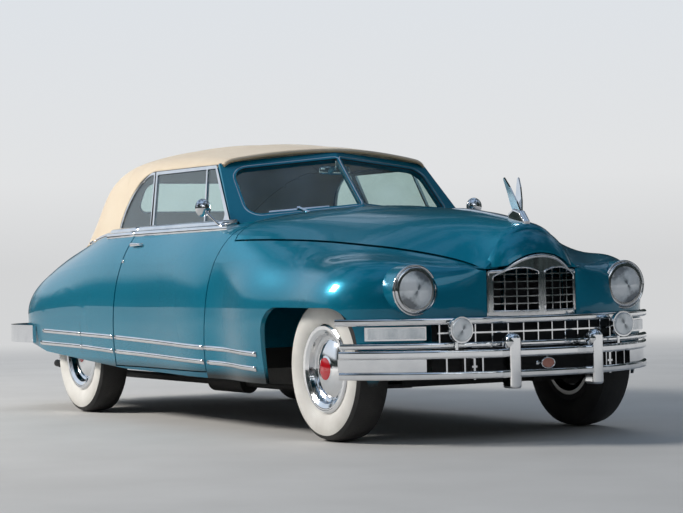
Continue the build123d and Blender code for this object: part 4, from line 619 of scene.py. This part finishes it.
def canopy_rings():
    """The top's half sections, from the lip at the windshield to the hem on the deck."""
    body = surface_of("rear_body")
    rings = []
    s, last = CANVAS_FRONT_ROW, len(TOP) - 1.0
    while True:
        x, points = top_section(s)
        ring = []
        shear = max(0.0, min(1.0, (x + 0.1) / 0.55))
        for y, z in resample(clip_low(points, lower_limit(x, points, body)), COLUMNS):
            bow_gap = 0.0
            for a, b in zip(BOWS, BOWS[1:]):
                if b < x < a:
                    bow_gap = math.sin(math.pi * (a - x) / (a - b)) ** 2
            crown = max(0.0, 1.0 - (y / 0.62) ** 2)
            ring.append(Vector((x - 0.1714 * y * shear - 0.012 * shear, y, z - 0.002 - SAG * bow_gap * crown)))
        rings.append(ring)
        if s == last:
            break
        s += 0.025 if -0.96 < x < -0.86 else 0.1
        if s >= last - 1e-6:
            s = last
    rings.insert(0, [point + Vector((0.003, 0, -0.009)) for point in rings[0]])
    deck = surface_of("rear_body", "trunk_lid")
    hem = []
    for point in rings[-1]:
        hit = deck.ray_cast(Vector((point.x - 0.002, -point.y, point.z + 0.2)), Vector((0, 0, -1)))[0]
        height = hit.z + 0.003 if hit else point.z - 0.03
        hem.append(Vector((point.x - 0.002, point.y, min(height, point.z - 0.004))))
    return rings + [hem]


def build_canopy():
    """The top as one curved sheet, with its hems, welts and weatherstrip."""
    rings = canopy_rings()
    verts = [point for ring in rings for point in whole(ring)]
    mesh = new_mesh("canopy", verts, skin(len(rings), 2 * COLUMNS - 1, open_rows=True))
    mesh.shade_smooth()
    top = carried("canopy", mesh, CANVAS)
    hole = window_ring(0.345, 0.09, 0.055)
    block = [(x, y, z) for x in (-1.67, -1.37) for y, z in hole]
    window = new_object("window_space", closed_mesh("window_space", block, len(hole)))
    solid = top.modifiers.new("cloth", "SOLIDIFY")
    solid.thickness = CLOTH
    solid.offset = 1.0
    cut = top.modifiers.new("window", "BOOLEAN")
    cut.object = window
    cut.solver = "EXACT"
    bpy.context.view_layer.update()
    settle(top)
    bpy.data.objects.remove(window, do_unlink=True)
    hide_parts("soft_top")
    edge = [ring[-1] for ring in rings[1:-1]]
    for side, sign in (("right", -1.0), ("left", 1.0)):
        strip = [(p.x, sign * (p.y - 0.004), p.z - 0.002) for p in edge if p.x > -0.9295]
        add_tube(f"window_strip_{side}", strip, 0.0075, RUBBER)
        foot = [(p.x, sign * (p.y + 0.001), p.z + 0.004) for p in edge if p.x <= -0.925]
        add_tube(f"base_binding_{side}", foot, 0.006, CANVAS_EDGE)
        welt = [(p.x, sign * p.y, p.z + 0.0015) for p in (ring[WELT_COLUMN] for ring in rings[1:-1])]
        add_tube(f"top_welt_{side}", welt, 0.0032, CANVAS_EDGE)
    add_tube("front_binding", whole(rings[0], 0.001, -0.003), 0.0065, CANVAS_EDGE)
    add_tube("rear_binding", whole(rings[-1], -0.002, 0.004), 0.006, CANVAS_EDGE)
    rim = [(rear_slope_x(y, z), y, z) for y, z in window_ring(0.352, 0.095, 0.06)]
    add_tube("rear_window_rim", rim, 0.006, closed=True)


def rear_slope_x(y, z):
    """The x of the top's outer surface on the rear slope at a height."""
    best = None
    for s in line(8.0, 13.0, 200):
        x, points = top_section(s)
        for (y0, z0), (y1, z1) in zip(points, points[1:]):
            if y0 <= abs(y) <= y1 and y1 > y0:
                height = z0 + (z1 - z0) * (abs(y) - y0) / (y1 - y0)
                if best is None or abs(height - z) < best[0]:
                    best = (abs(height - z), x)
                break
    return best[1]


def window_ring(half, tall, corner):
    """The rear window's rounded outline, seen from behind."""
    ring = []
    for sy, sz, start in ((1, 1, 0), (-1, 1, 90), (-1, -1, 180), (1, -1, 270)):
        for i in range(7):
            a = math.radians(start + 15 * i)
            y, z = sy * (half - corner), REAR_WINDOW_Z + sz * (tall - corner)
            ring.append((y + corner * math.cos(a), z + corner * math.sin(a)))
    return ring


def settle(obj):
    """Applies every modifier of an object."""
    depsgraph = bpy.context.evaluated_depsgraph_get()
    mesh = bpy.data.meshes.new_from_object(obj.evaluated_get(depsgraph), depsgraph=depsgraph)
    obj.modifiers.clear()
    old = obj.data
    obj.data = mesh
    bpy.data.meshes.remove(old)


build_canopy()


# Benches: cushion and back outlines in side view, drawn a little small for the swelling
FRONT_CUSHION = [(0.378, 0.412), (0.384, 0.508), (0.325, 0.556), (0.0, 0.530), (-0.030, 0.500), (-0.020, 0.412)]
FRONT_BACK = [(-0.052, 0.470), (-0.072, 0.560), (-0.166, 0.895), (-0.204, 0.985), (-0.258, 1.010), (-0.284, 0.955),
              (-0.232, 0.470)]
REAR_CUSHION = [(-0.575, 0.412), (-0.573, 0.530), (-0.628, 0.572), (-0.895, 0.556), (-0.925, 0.530), (-0.915, 0.412)]
REAR_BACK = [(-0.950, 0.590), (-0.960, 0.625), (-1.040, 0.945), (-1.088, 1.018), (-1.142, 1.030), (-1.172, 0.972),
             (-1.080, 0.590)]
UPWARD = Vector((0.05, 0, 1)).normalized()
FORWARD = Vector((1, 0, 0.28)).normalized()
SWELL_STEPS = 20
SEAM_DEPTH = 0.009
SEAM_WIDTH = 0.013


def prism(name, outline, half):
    """A closed mesh from a side outline, across the car."""
    count = len(outline)
    faces = [tuple(range(count)), tuple(range(count, 2 * count))[::-1]]
    faces += [(i, count + i, count + (i + 1) % count, (i + 1) % count) for i in range(count)]
    return outward(new_mesh(name, [(x, y, z) for y in (-half, half) for x, z in outline], faces))


def inflate(obj, pressure, cap):
    """Swells a closed cover by cloth simulation, each point by no more than the cap."""
    rest = [v.co.copy() for v in obj.data.vertices]
    air = obj.modifiers.new("air", "CLOTH")
    air.settings.use_pressure = True
    air.settings.uniform_pressure_force = pressure
    air.settings.effector_weights.gravity = 0.0
    air.settings.quality = 4
    air.point_cache.frame_start = 1
    air.point_cache.frame_end = SWELL_STEPS
    scene = bpy.context.scene
    for step in range(1, SWELL_STEPS + 1):
        scene.frame_set(step)
    swollen = obj.evaluated_get(bpy.context.evaluated_depsgraph_get())
    moved = [v.co.copy() for v in swollen.to_mesh().vertices]
    swollen.to_mesh_clear()
    obj.modifiers.remove(air)
    for vertex, before, after in zip(obj.data.vertices, rest, moved):
        step = after - before
        vertex.co = before + step.normalized() * min(step.length, cap) if step.length > 1e-6 else before
    scene.frame_set(1)
    obj.data.update()


def cushion(name, outline, half, facing, seams):
    """A stuffed bench pad: rounded cover, swelled, with sewn channels on the side that faces the sitter."""
    pad = new_object(name, prism(name, outline, half))
    soft = pad.modifiers.new("edge", "BEVEL")
    soft.width = 0.028
    soft.segments = 3
    soft.limit_method = "ANGLE"
    grid = pad.modifiers.new("grid", "REMESH")
    grid.mode = "VOXEL"
    grid.voxel_size = 0.016
    bpy.context.view_layer.update()
    settle(pad)
    inflate(pad, 4.0, 0.016)
    lines = line(0.10 - half, half - 0.10, seams + 1)
    for vertex in pad.data.vertices:
        front = max(0.0, vertex.normal.dot(facing))
        if front > 0.25:
            near = min(abs(vertex.co.y - seam) for seam in lines)
            sunk = SEAM_DEPTH * math.exp(-((near / SEAM_WIDTH) ** 2))
            vertex.co -= vertex.normal * (sunk * min(1.0, front * 1.4))
    pad.data.update()
    smooth = pad.modifiers.new("smooth", "SUBSURF")
    smooth.levels = smooth.render_levels = 1
    pad.data.materials.clear()
    pad.data.materials.append(LEATHER)
    pad.data.shade_smooth()
    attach(pad, "chassis")
    return pad


def piping(name, pad, x, rows, top):
    """A sewn cord that lies across a pad, found from above."""
    tree = BVHTree.FromObject(pad, bpy.context.evaluated_depsgraph_get())
    points = []
    for y in rows:
        place, normal, _, _ = tree.ray_cast(Vector((x, y, top + 0.2)), Vector((0, 0, -1)))
        if place:
            points.append(place + normal * 0.001)
    add_tube(name, points, 0.0042, PIPING)


def build_bench(name, base, back, half, channels, node):
    """A bench seat: cushion, back, their piping and the box under them."""
    low = cushion(f"{name}_cushion", base, half, UPWARD, channels)
    high = cushion(f"{name}_back", back, half, FORWARD, channels)
    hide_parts(node)
    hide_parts(node)
    rear_x, front_x = min(x for x, z in base), max(x for x, z in base)
    rows = line(0.03 - half, half - 0.03, 61)
    piping(f"{name}_cushion_piping", low, front_x - 0.035, rows, max(z for x, z in base))
    crest_x, crest_z = max(back, key=lambda p: p[1])
    piping(f"{name}_back_piping", high, crest_x + 0.035, rows, crest_z)
    x0, x1 = rear_x + 0.03, front_x - 0.03
    sides = [(x0, 0.366), (x1 - 0.02, 0.366), (x1, 0.425), (x0, 0.425)]
    box = carried(f"{name}_base", prism(f"{name}_base", sides, half - 0.05), CARPET)
    edge = box.modifiers.new("edge", "BEVEL")
    edge.width = 0.008
    edge.segments = 2


build_bench("front_bench", FRONT_CUSHION, FRONT_BACK, 0.655, 12, "front_seat")
build_bench("rear_bench", REAR_CUSHION, REAR_BACK, 0.575, 10, "rear_seat")


# Mouldings that lie on the body
TREES = {name: surface_of(name) for name in (
    "fender_right", "fender_left", "door_right", "door_left", "rear_body", "hood")}
BESIDE = 1.3  # where rays toward the sides start


def side_hit(node, x, z, sign):
    """The place and the normal where a node's side is met at (x, z)."""
    place, normal, _, _ = TREES[node].ray_cast(Vector((x, sign * BESIDE, z)), Vector((0, -sign, 0)))
    return place, normal


def side_points(node, path, sign):
    """Places and normals on a node's side, along points seen from the side."""
    hits = [side_hit(node, x, z, sign) for x, z in path]
    return [hit for hit in hits if hit[0]]


def middle_of(points):
    """The mean of points."""
    return sum(points, Vector()) / len(points)


def facing_up(place, normal):
    """A place with its normal turned upward."""
    return place, normal if normal.z > 0 else -normal


def moulding(name, found, height, proud, body="chassis", material=CHROME, ends=(0.0, 0.0), sides=8):
    """A half-round strip along points on a surface, with rounded ends of the lengths given."""
    middle = middle_of([point for point, normal in found])
    verts = []
    last = len(found) - 1
    for i, (point, normal) in enumerate(found):
        if normal.y * middle.y < -1e-6:
            normal = -normal
        ahead = (found[min(i + 1, last)][0] - found[max(i - 1, 0)][0]).normalized()
        across = normal.cross(ahead).normalized()
        size = 1.0
        for end, length in zip((found[0][0], found[-1][0]), ends):
            reach = (point - end).length
            if length > 0 and reach < length:
                size = min(size, math.sqrt(max(1.0 - (1.0 - reach / length) ** 2, 0.0)) + 0.04)
        for k in range(sides + 1):
            a = math.pi * k / sides
            off = across * (height / 2 * size * math.cos(a)) + normal * (proud * size * math.sin(a) - 0.0015)
            verts.append(point + off)
    add_closed(name, verts, sides + 1, material, body)


def height_at(table, x):
    """A height read between the rows of a table of (x, z), from the front backwards."""
    for (x0, z0), (x1, z1) in zip(table, table[1:]):
        if x >= x1 or (x1, z1) == table[-1]:
            return z0 + (z1 - z0) * (x0 - x) / (x0 - x1)


# Side strips: (x, z) along each, from the front end back
STRIPS = {
    "upper": ((1.269, 0.444), (0.614, 0.465), (-0.650, 0.502), (-1.155, 0.512), (-1.790, 0.523)),
    "lower": ((1.241, 0.364), (0.599, 0.384), (-0.671, 0.415), (-1.161, 0.433), (-1.866, 0.443)),
}
STRIP_HEIGHT = 0.030
STRIP_PROUD = 0.011
SEAM_HALF = 0.007
SKIRT_HALF = 0.0015


def build_strips(side, sign):
    """Both strips of a side, in lengths that stop at each seam of the body."""
    for level, table in STRIPS.items():
        front, door_front, door_rear, skirt, rear = (x for x, z in table)
        for part, x0, x1, node, body in (
            ("fender", front, door_front + SEAM_HALF, f"fender_{side}", "chassis"),
            ("door", door_front - SEAM_HALF, door_rear + SEAM_HALF, f"door_{side}", f"door_{side}"),
            ("quarter", door_rear - SEAM_HALF, skirt + SKIRT_HALF, "rear_body", "chassis"),
            ("skirt", skirt - SKIRT_HALF, rear, "rear_body", "chassis"),
        ):
            count = max(12, int(abs(x0 - x1) / 0.025))
            found = side_points(node, [(x, height_at(table, x)) for x in line(x0, x1, count)], sign)
            moulding(f"{level}_strip_{part}_{side}", found, STRIP_HEIGHT, STRIP_PROUD, body)


both_sides(build_strips)

# Belt moulding: (x, z) of its lower edge, from the windshield pillar back
BELT = ((0.735, 1.121), (0.113, 1.117), (-0.500, 1.112), (-0.929, 1.106))
BELT_RISE = 0.062
LEDGE_Y = 0.7885
BELT_DOOR_REAR_X = -0.494
# Rise above the lower edge as a share, and how far the edge stands inside the lower one
BELT_SECTION = ((-0.06, -0.001), (0.0, 0.004), (0.10, 0.007), (0.30, 0.006), (0.46, 0.0), (0.56, -0.012),
                (0.60, -0.020), (0.66, -0.021), (0.80, -0.024), (0.92, -0.032), (1.0, -0.044))


def build_belt(side, sign):
    """The bright cap along the door's top and the quarter, up to the side windows."""
    for part, x0, x1, node, body in (
        ("door", 0.728, BELT_DOOR_REAR_X + SEAM_HALF, f"door_{side}", f"door_{side}"),
        ("quarter", BELT_DOOR_REAR_X - SEAM_HALF, -0.955, "rear_body", "chassis"),
    ):
        verts = []
        for x in line(x0, x1, max(14, int(abs(x0 - x1) / 0.03))):
            low_z = height_at(BELT, x)
            place = side_hit(node, x, low_z, sign)[0]
            edge_y = abs(place.y) if place else 0.85
            for share, out in BELT_SECTION:
                verts.append((x, sign * max(edge_y + out, LEDGE_Y + 0.001), low_z + BELT_RISE * share))
            verts.append((x, sign * LEDGE_Y, low_z + BELT_RISE))
            verts.append((x, sign * LEDGE_Y, low_z + 0.022))
        cap = add_closed(f"belt_{part}_{side}", verts, len(BELT_SECTION) + 2, CHROME, body)
        cap.modifiers.new("crisp", "EDGE_SPLIT").split_angle = math.radians(50)


both_sides(build_belt)


def build_rear_belt(side, sign):
    """The bright moulding round the raised top's foot, on the body just outside the canvas."""
    found = []
    s = 6.2
    while s <= len(TOP) - 1:
        x, points = top_section(s)
        y = next((y for y, z in points if z < 1.16), points[-1][0])
        aim = Vector((x, sign * (y + 0.016), 1.118 - 0.02 * max(0.0, s - 10) / 3))
        found.append(facing_up(*TREES["rear_body"].find_nearest(aim)[:2]))
        s += 0.12
    moulding(f"belt_rear_{side}", found, 0.026, 0.026, ends=(0.02, 0.0))


both_sides(build_rear_belt)


# Bright beads and rubber round the glass
def face_loops(node, facing, least):
    """The outlines of a node's faces that look one way."""
    mesh = bmesh.new()
    mesh.from_mesh(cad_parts[node].data)
    bmesh.ops.remove_doubles(mesh, verts=mesh.verts, dist=1e-5)
    chosen = {f.index for f in mesh.faces if f.normal.dot(facing) > least}
    nexts = {}
    for edge in mesh.edges:
        if sum(f.index in chosen for f in edge.link_faces) == 1:
            a, b = (v.index for v in edge.verts)
            nexts.setdefault(a, []).append(b)
            nexts.setdefault(b, []).append(a)
    mesh.verts.ensure_lookup_table()
    loops, seen = [], set()
    for start in nexts:
        if start in seen:
            continue
        loop = [start]
        seen.add(start)
        while ways := [v for v in nexts[loop[-1]] if v not in seen]:
            seen.add(ways[0])
            loop.append(ways[0])
        if len(loop) > 3:
            loops.append([mesh.verts[i].co.copy() for i in loop])
    mesh.free()
    return loops


def evenly(loop, step):
    """A closed outline with its points an even step apart."""
    closed = loop + loop[:1]
    count = max(12, int(runs_of(closed)[-1] / step))
    return [Vector(point) for point in resample(closed, count + 1)[:-1]]


def grown(loop, amount, lift, facing):
    """An outline moved outward in its own plane, and along its facing."""
    middle = middle_of(loop)
    result = []
    for i, point in enumerate(loop):
        along = (loop[(i + 1) % len(loop)] - loop[i - 1]).normalized()
        away = along.cross(facing).normalized()
        if away.dot(point - middle) < 0:
            away = -away
        result.append(point + away * amount + facing * lift)
    return result


def build_windshield_trim():
    """A bright bead and a rubber lip round each pane."""
    for loop in face_loops("windshield_glass", Vector((0.8, 0, 0.6)), 0.5):
        points = evenly(loop, 0.02)
        side = "right" if middle_of(points).y < 0 else "left"
        a, b, c = points[0], points[len(points) // 3], points[2 * len(points) // 3]
        facing = (b - a).cross(c - a).normalized()
        if facing.x < 0:
            facing = -facing
        add_tube(f"windshield_rubber_{side}", grown(points, 0.004, 0.008, facing), 0.0055, RUBBER, closed=True)
        add_tube(f"windshield_bead_{side}", grown(points, 0.0145, 0.0115, facing), 0.0062, closed=True)


build_windshield_trim()


# Small bright pieces
def revolved(name, profile, centre, axis, body="chassis", turns=40):
    """A turned piece: profile rows of distance along the axis and radius."""
    axis = Vector(axis).normalized()
    across = axis.orthogonal().normalized()
    up = axis.cross(across)
    verts = [Vector(centre) + axis * along + (across * c + up * s) * radius
             for along, radius in profile for c, s in circle(turns)]
    add_closed(name, verts, turns, CHROME, body)


# Plain badge between the bumper's blades: its place, and rows of depth and size as shares
BADGE_AT = (2.650, -0.030, 0.402)
BADGE_ROWS = ((0.0, 0.94), (0.25, 1.0), (0.6, 1.0), (0.85, 0.93), (1.0, 0.75), (1.12, 0.4), (1.15, 0.12))


def build_badge():
    """A plain oval badge, its rim, and the strap that holds it to the upper blade."""
    x, y, z = BADGE_AT
    verts = [(x + 0.005 * along, y + 0.037 * size * c, z + 0.024 * size * s)
             for along, size in BADGE_ROWS for c, s in circle(40)]
    add_closed("bumper_badge", verts, 40, ENAMEL)
    rim = [(x + 0.003, y + 0.039 * c, z + 0.026 * s) for c, s in circle(48)]
    add_tube("bumper_badge_rim", rim, 0.0032, closed=True)
    add_tube("bumper_badge_strap", [(x - 0.006, y, z - 0.020), (x - 0.008, y, z + 0.044)], 0.004)
    side_y, side_z = y - 0.062, z + 0.002
    bolt = ((0.0, 0.011), (0.006, 0.011), (0.010, 0.006))
    revolved("bumper_badge_bolt", bolt, (x - 0.004, side_y, side_z), (1, 0, 0))
    add_tube("bumper_badge_bar", [(x - 0.006, side_y, side_z), (x - 0.006, y, side_z)], 0.003)


build_badge()


def build_inside_mirror():
    """The driver's mirror, on a stalk from the windshield's head."""
    centre = Vector((0.470, -0.010, 1.470))
    verts = []
    for depth, size in ((-0.010, 0.80), (-0.008, 0.97), (0.006, 1.0), (0.012, 0.86), (0.014, 0.5)):
        for c, s in circle(32):
            wide = 0.105 * math.copysign(abs(c) ** 0.5, c) * size
            tall = 0.028 * math.copysign(abs(s) ** 0.5, s) * size
            verts.append(centre + Vector((depth, wide, tall)))
    add_closed("inside_mirror", verts, 32)
    stalk = [centre + Vector((dx, 0, dz)) for dx, dz in ((0.010, 0), (0.022, 0.035), (0.020, 0.080))]
    add_tube("inside_mirror_stalk", stalk, 0.005)


build_inside_mirror()


def build_door_details(side, sign):
    """The keyhole button under the handle, and the line of the fender skirt's front edge."""
    lock, normal = side_hit(f"door_{side}", -0.532, 0.962, sign)
    button = ((-0.002, 0.012), (0.004, 0.0115), (0.007, 0.008), (0.0075, 0.002))
    revolved(f"door_lock_{side}", button, lock, normal, f"door_{side}", turns=24)
    path = [(-1.153 - 0.03 * max(0.0, 0.46 - z) / 0.1, z) for z in (0.585, 0.56, 0.52, 0.48, 0.44, 0.41, 0.385)]
    found = side_points("rear_body", path, sign)
    moulding(f"skirt_seam_{side}", found, 0.004, 0.0022, material=RUBBER, sides=4)


both_sides(build_door_details)

# Dark sheets of painted shade behind the open work, and bright trim at the nose
SHADE_RADIUS = 1.226
SHADE_THICK = 0.002


def shade_sheet(name, rows):
    """A dark sheet of painted shade over level rows of points."""
    verts = []
    for row in rows:
        verts += row + [(x - SHADE_THICK, y, z) for x, y, z in reversed(row)]
    add_closed(name, verts, 2 * len(rows[0]), SHADE)


def build_shade_sheets():
    """Black sheets of painted shade that close the lower grille and the middle grille behind their bars."""
    bend = [math.radians(angle) for angle in line(-27.0, 27.0, 25)]
    shade_sheet("lower_grille_shade", [
        [(LATTICE_CENTRE_X + SHADE_RADIUS * math.cos(a), SHADE_RADIUS * math.sin(a), z) for a in bend]
        for z in (0.345, 0.420, 0.500, 0.560, 0.615)])
    shade_sheet("grille_shade", [
        [(2.492 - 0.085 * (y / 0.24) ** 2, y, z) for y in line(-0.235, 0.235, 17)] for z in (0.660, 0.750, 0.830)])


build_shade_sheets()


def build_grille_outline():
    """A half-round bead along the middle grille's edge and round its two arches, and the centre bar."""
    loops = face_loops("grille", Vector((1, 0, 0)), 0.7)
    outline = max((loop for loop in loops if max(p.z for p in loop) > 0.94), key=len)
    points = [p for p in evenly(outline, 0.012) if p.z > 0.646]
    middle = middle_of(points)
    rim = []
    for p in points:
        away = Vector((0, p.y - middle.y, p.z - middle.z)).normalized()
        rim.append(p - away * 0.009 + Vector((0.001, 0, 0)))
    cut = max(range(len(rim)), key=lambda i: (rim[i] - rim[i - 1]).length)
    add_tube("grille_outline", rim[cut:] + rim[:cut], 0.0085, sides=6)
    for loop in loops:
        if 0.7 < runs_of(loop + loop[:1])[-1] < 1.2:
            side = "right" if loop[0].y < 0 else "left"
            ring = [p + Vector((0.001, 0, 0)) for p in evenly(loop, 0.012)]
            add_tube(f"grille_arch_{side}", ring, 0.0045, closed=True)
    add_tube("grille_bar_bead", [(2.5690, 0, 0.672), (2.5690, 0, 0.860)], 0.0065, sides=6)


build_grille_outline()


def build_hood_spear():
    """The bright strip along the hood's crown, up to the ornament's foot."""
    down = Vector((0, 0, -1))
    hits = [TREES["hood"].ray_cast(Vector((x, 0.0, 2.0)), down) for x in line(1.72, 2.345, 26)]
    found = [facing_up(*hit[:2]) for hit in hits if hit[0]]
    moulding("hood_spear", found, 0.022, 0.011, "hood", ends=(0.35, 0.02))


build_hood_spear()


def build_lamp_sleeves(side, sign):
    """A bright sleeve round each headlamp."""
    ring = [(2.3945, sign * LAMP_Y + 0.1235 * c, LAMP_Z + 0.1235 * s) for c, s in circle(64)]
    add_tube(f"lamp_sleeve_{side}", ring, 0.0055, closed=True, sides=10)


both_sides(build_lamp_sleeves)


# Camera at the photograph's place
CAMERA_AT = Vector((11.6945, -6.325, 0.915))
RIGHT = Vector((0.49224717, 0.87020351, -0.02094227))
UP = Vector((0.01357779, 0.01637997, 0.99977364))
AHEAD = Vector((-0.87034957, 0.49242009, 0.00375245))
camera_data = bpy.data.cameras.new("camera")
camera_data.sensor_width = 36.0
camera_data.lens = 36.0 * 2185.0 / 683.0
camera_data.clip_end = 200.0
camera = new_object("camera", camera_data)
camera.matrix_world = Matrix.Translation(CAMERA_AT) @ Matrix((RIGHT, UP, -AHEAD)).transposed().to_4x4()
bpy.context.scene.camera = camera

# Floor, lamps, dome and world
FLOOR_HALF = 60.0
FADE_FROM = 6.0
FADE_TO = 15.0
BACKDROP = (0.654, 0.660, 0.666)
DOME_RADIUS = 16.0
WINDOW_TOWARD = (-0.883, -0.469)
SKY = ((0.50, (0.727, 0.733, 0.740)), (0.52, (0.84, 0.85, 0.86)), (0.66, (0.74, 0.84, 0.96)),
       (0.95, (0.50, 0.68, 0.95)))
LIGHT_LEVEL = 0.30
SEEN_LEVEL = 0.9


def stage_floor():
    """A wide pale floor that takes the backdrop's colour far off."""
    corners = [(FLOOR_HALF * x, FLOOR_HALF * y, 0) for x, y in ((-1, -1), (1, -1), (1, 1), (-1, 1))]
    floor = new_object("floor", new_mesh("floor", corners, [(0, 1, 2, 3)]))
    mat, n = new_material("pale_floor")
    n.fit(Base_Color=n.ramp(n.noise(1.5), [(0.3, (0.55, 0.54, 0.52)), (0.7, (0.60, 0.59, 0.57))]), Roughness=0.85)
    x, y, z = n.split()
    far = n.fade(n.length(x, y), FADE_FROM, FADE_TO, interpolation_type="SMOOTHSTEP")
    glow = n.add("ShaderNodeEmission", {"Color": BACKDROP})
    n.mixed(n.times(far, n.seen()), n.shader, glow)
    floor.data.materials.append(mat)


stage_floor()


def area_lamp(name, at, aim, size, power, colour):
    """A soft rectangular lamp at a place, facing a point."""
    data = bpy.data.lights.new(name, "AREA")
    data.shape = "RECTANGLE"
    data.size, data.size_y = size
    data.energy = power
    data.color = colour
    lamp = new_object(name, data)
    lamp.location = at
    lamp.rotation_euler = (Vector(aim) - Vector(at)).to_track_quat("-Z", "Y").to_euler()
    return lamp


area_lamp("key", (-4.5, -10.5, 8.0), (0, 0, 0.6), (3.5, 3.0), 1750.0, (1.0, 0.955, 0.90))
area_lamp("front_fill", (11.0, -2.0, 6.0), (1.5, 0, 0.6), (5.0, 3.0), 70.0, (0.90, 0.95, 1.0))
area_lamp("back", (-8.0, 5.0, 6.5), (0, 0, 0.8), (6.0, 4.0), 300.0, (0.95, 0.97, 1.0)).visible_glossy = False


def stage_dome():
    """A dark dome with gaps, seen only in reflections, like the boards round a car in a studio."""
    turns, rises = 72, 14
    verts = [(DOME_RADIUS * c * math.cos(rise), DOME_RADIUS * s * math.cos(rise), DOME_RADIUS * math.sin(rise))
             for rise in line(math.radians(1.2), math.radians(88.0), rises + 1) for c, s in circle(turns)]
    dome = new_object("dome", new_mesh("dome", verts, skin(rises + 1, turns)))
    mat, n = new_material("dome_boards")
    x, y, z = n.split()
    blotches = n.maths("ADD", n.noise(0.16, 5.0, 0.62), n.times(z, 0.012))
    cover = n.ramp(blotches, [(0.60, 1.0), (0.70, 0.2)])
    along_x, along_y = (share / DOME_RADIUS for share in WINDOW_TOWARD)
    toward = n.maths("MULTIPLY_ADD", x, along_x, n.times(y, along_y))
    window = n.times(n.fade(toward, 0.72, 0.80), n.fade(z, 2.3, 3.1))
    cover = n.times(cover, n.minus(1.0, window))
    n.fit(Base_Color=n.ramp(n.noise(0.7, 6.0, 0.6), [(0.35, (0.006, 0.012, 0.012)), (0.65, (0.05, 0.075, 0.07))]))
    n.fit(Roughness=1.0)
    n.mixed(cover, n.add("ShaderNodeBsdfTransparent"), n.shader)
    dome.data.materials.append(mat)
    dome.visible_camera = dome.visible_diffuse = False
    dome.visible_shadow = dome.visible_transmission = False


stage_dome()

world = bpy.data.worlds.new("studio")
bpy.context.scene.world = world
world.use_nodes = True
sky = Nodes(world)
background = sky.tree.nodes["Background"].inputs
up = sky.split(sky.add("ShaderNodeTexCoord").outputs["Generated"])[2]
sky.set(background["Color"], sky.ramp(sky.fade(up, -1.0, 1.0), SKY))
level = {"Value": sky.seen(), "To Min": LIGHT_LEVEL, "To Max": SEEN_LEVEL}
sky.set(background["Strength"], sky.add("ShaderNodeMapRange", level).outputs["Result"])
bpy.context.scene.view_settings.view_transform = "Standard"
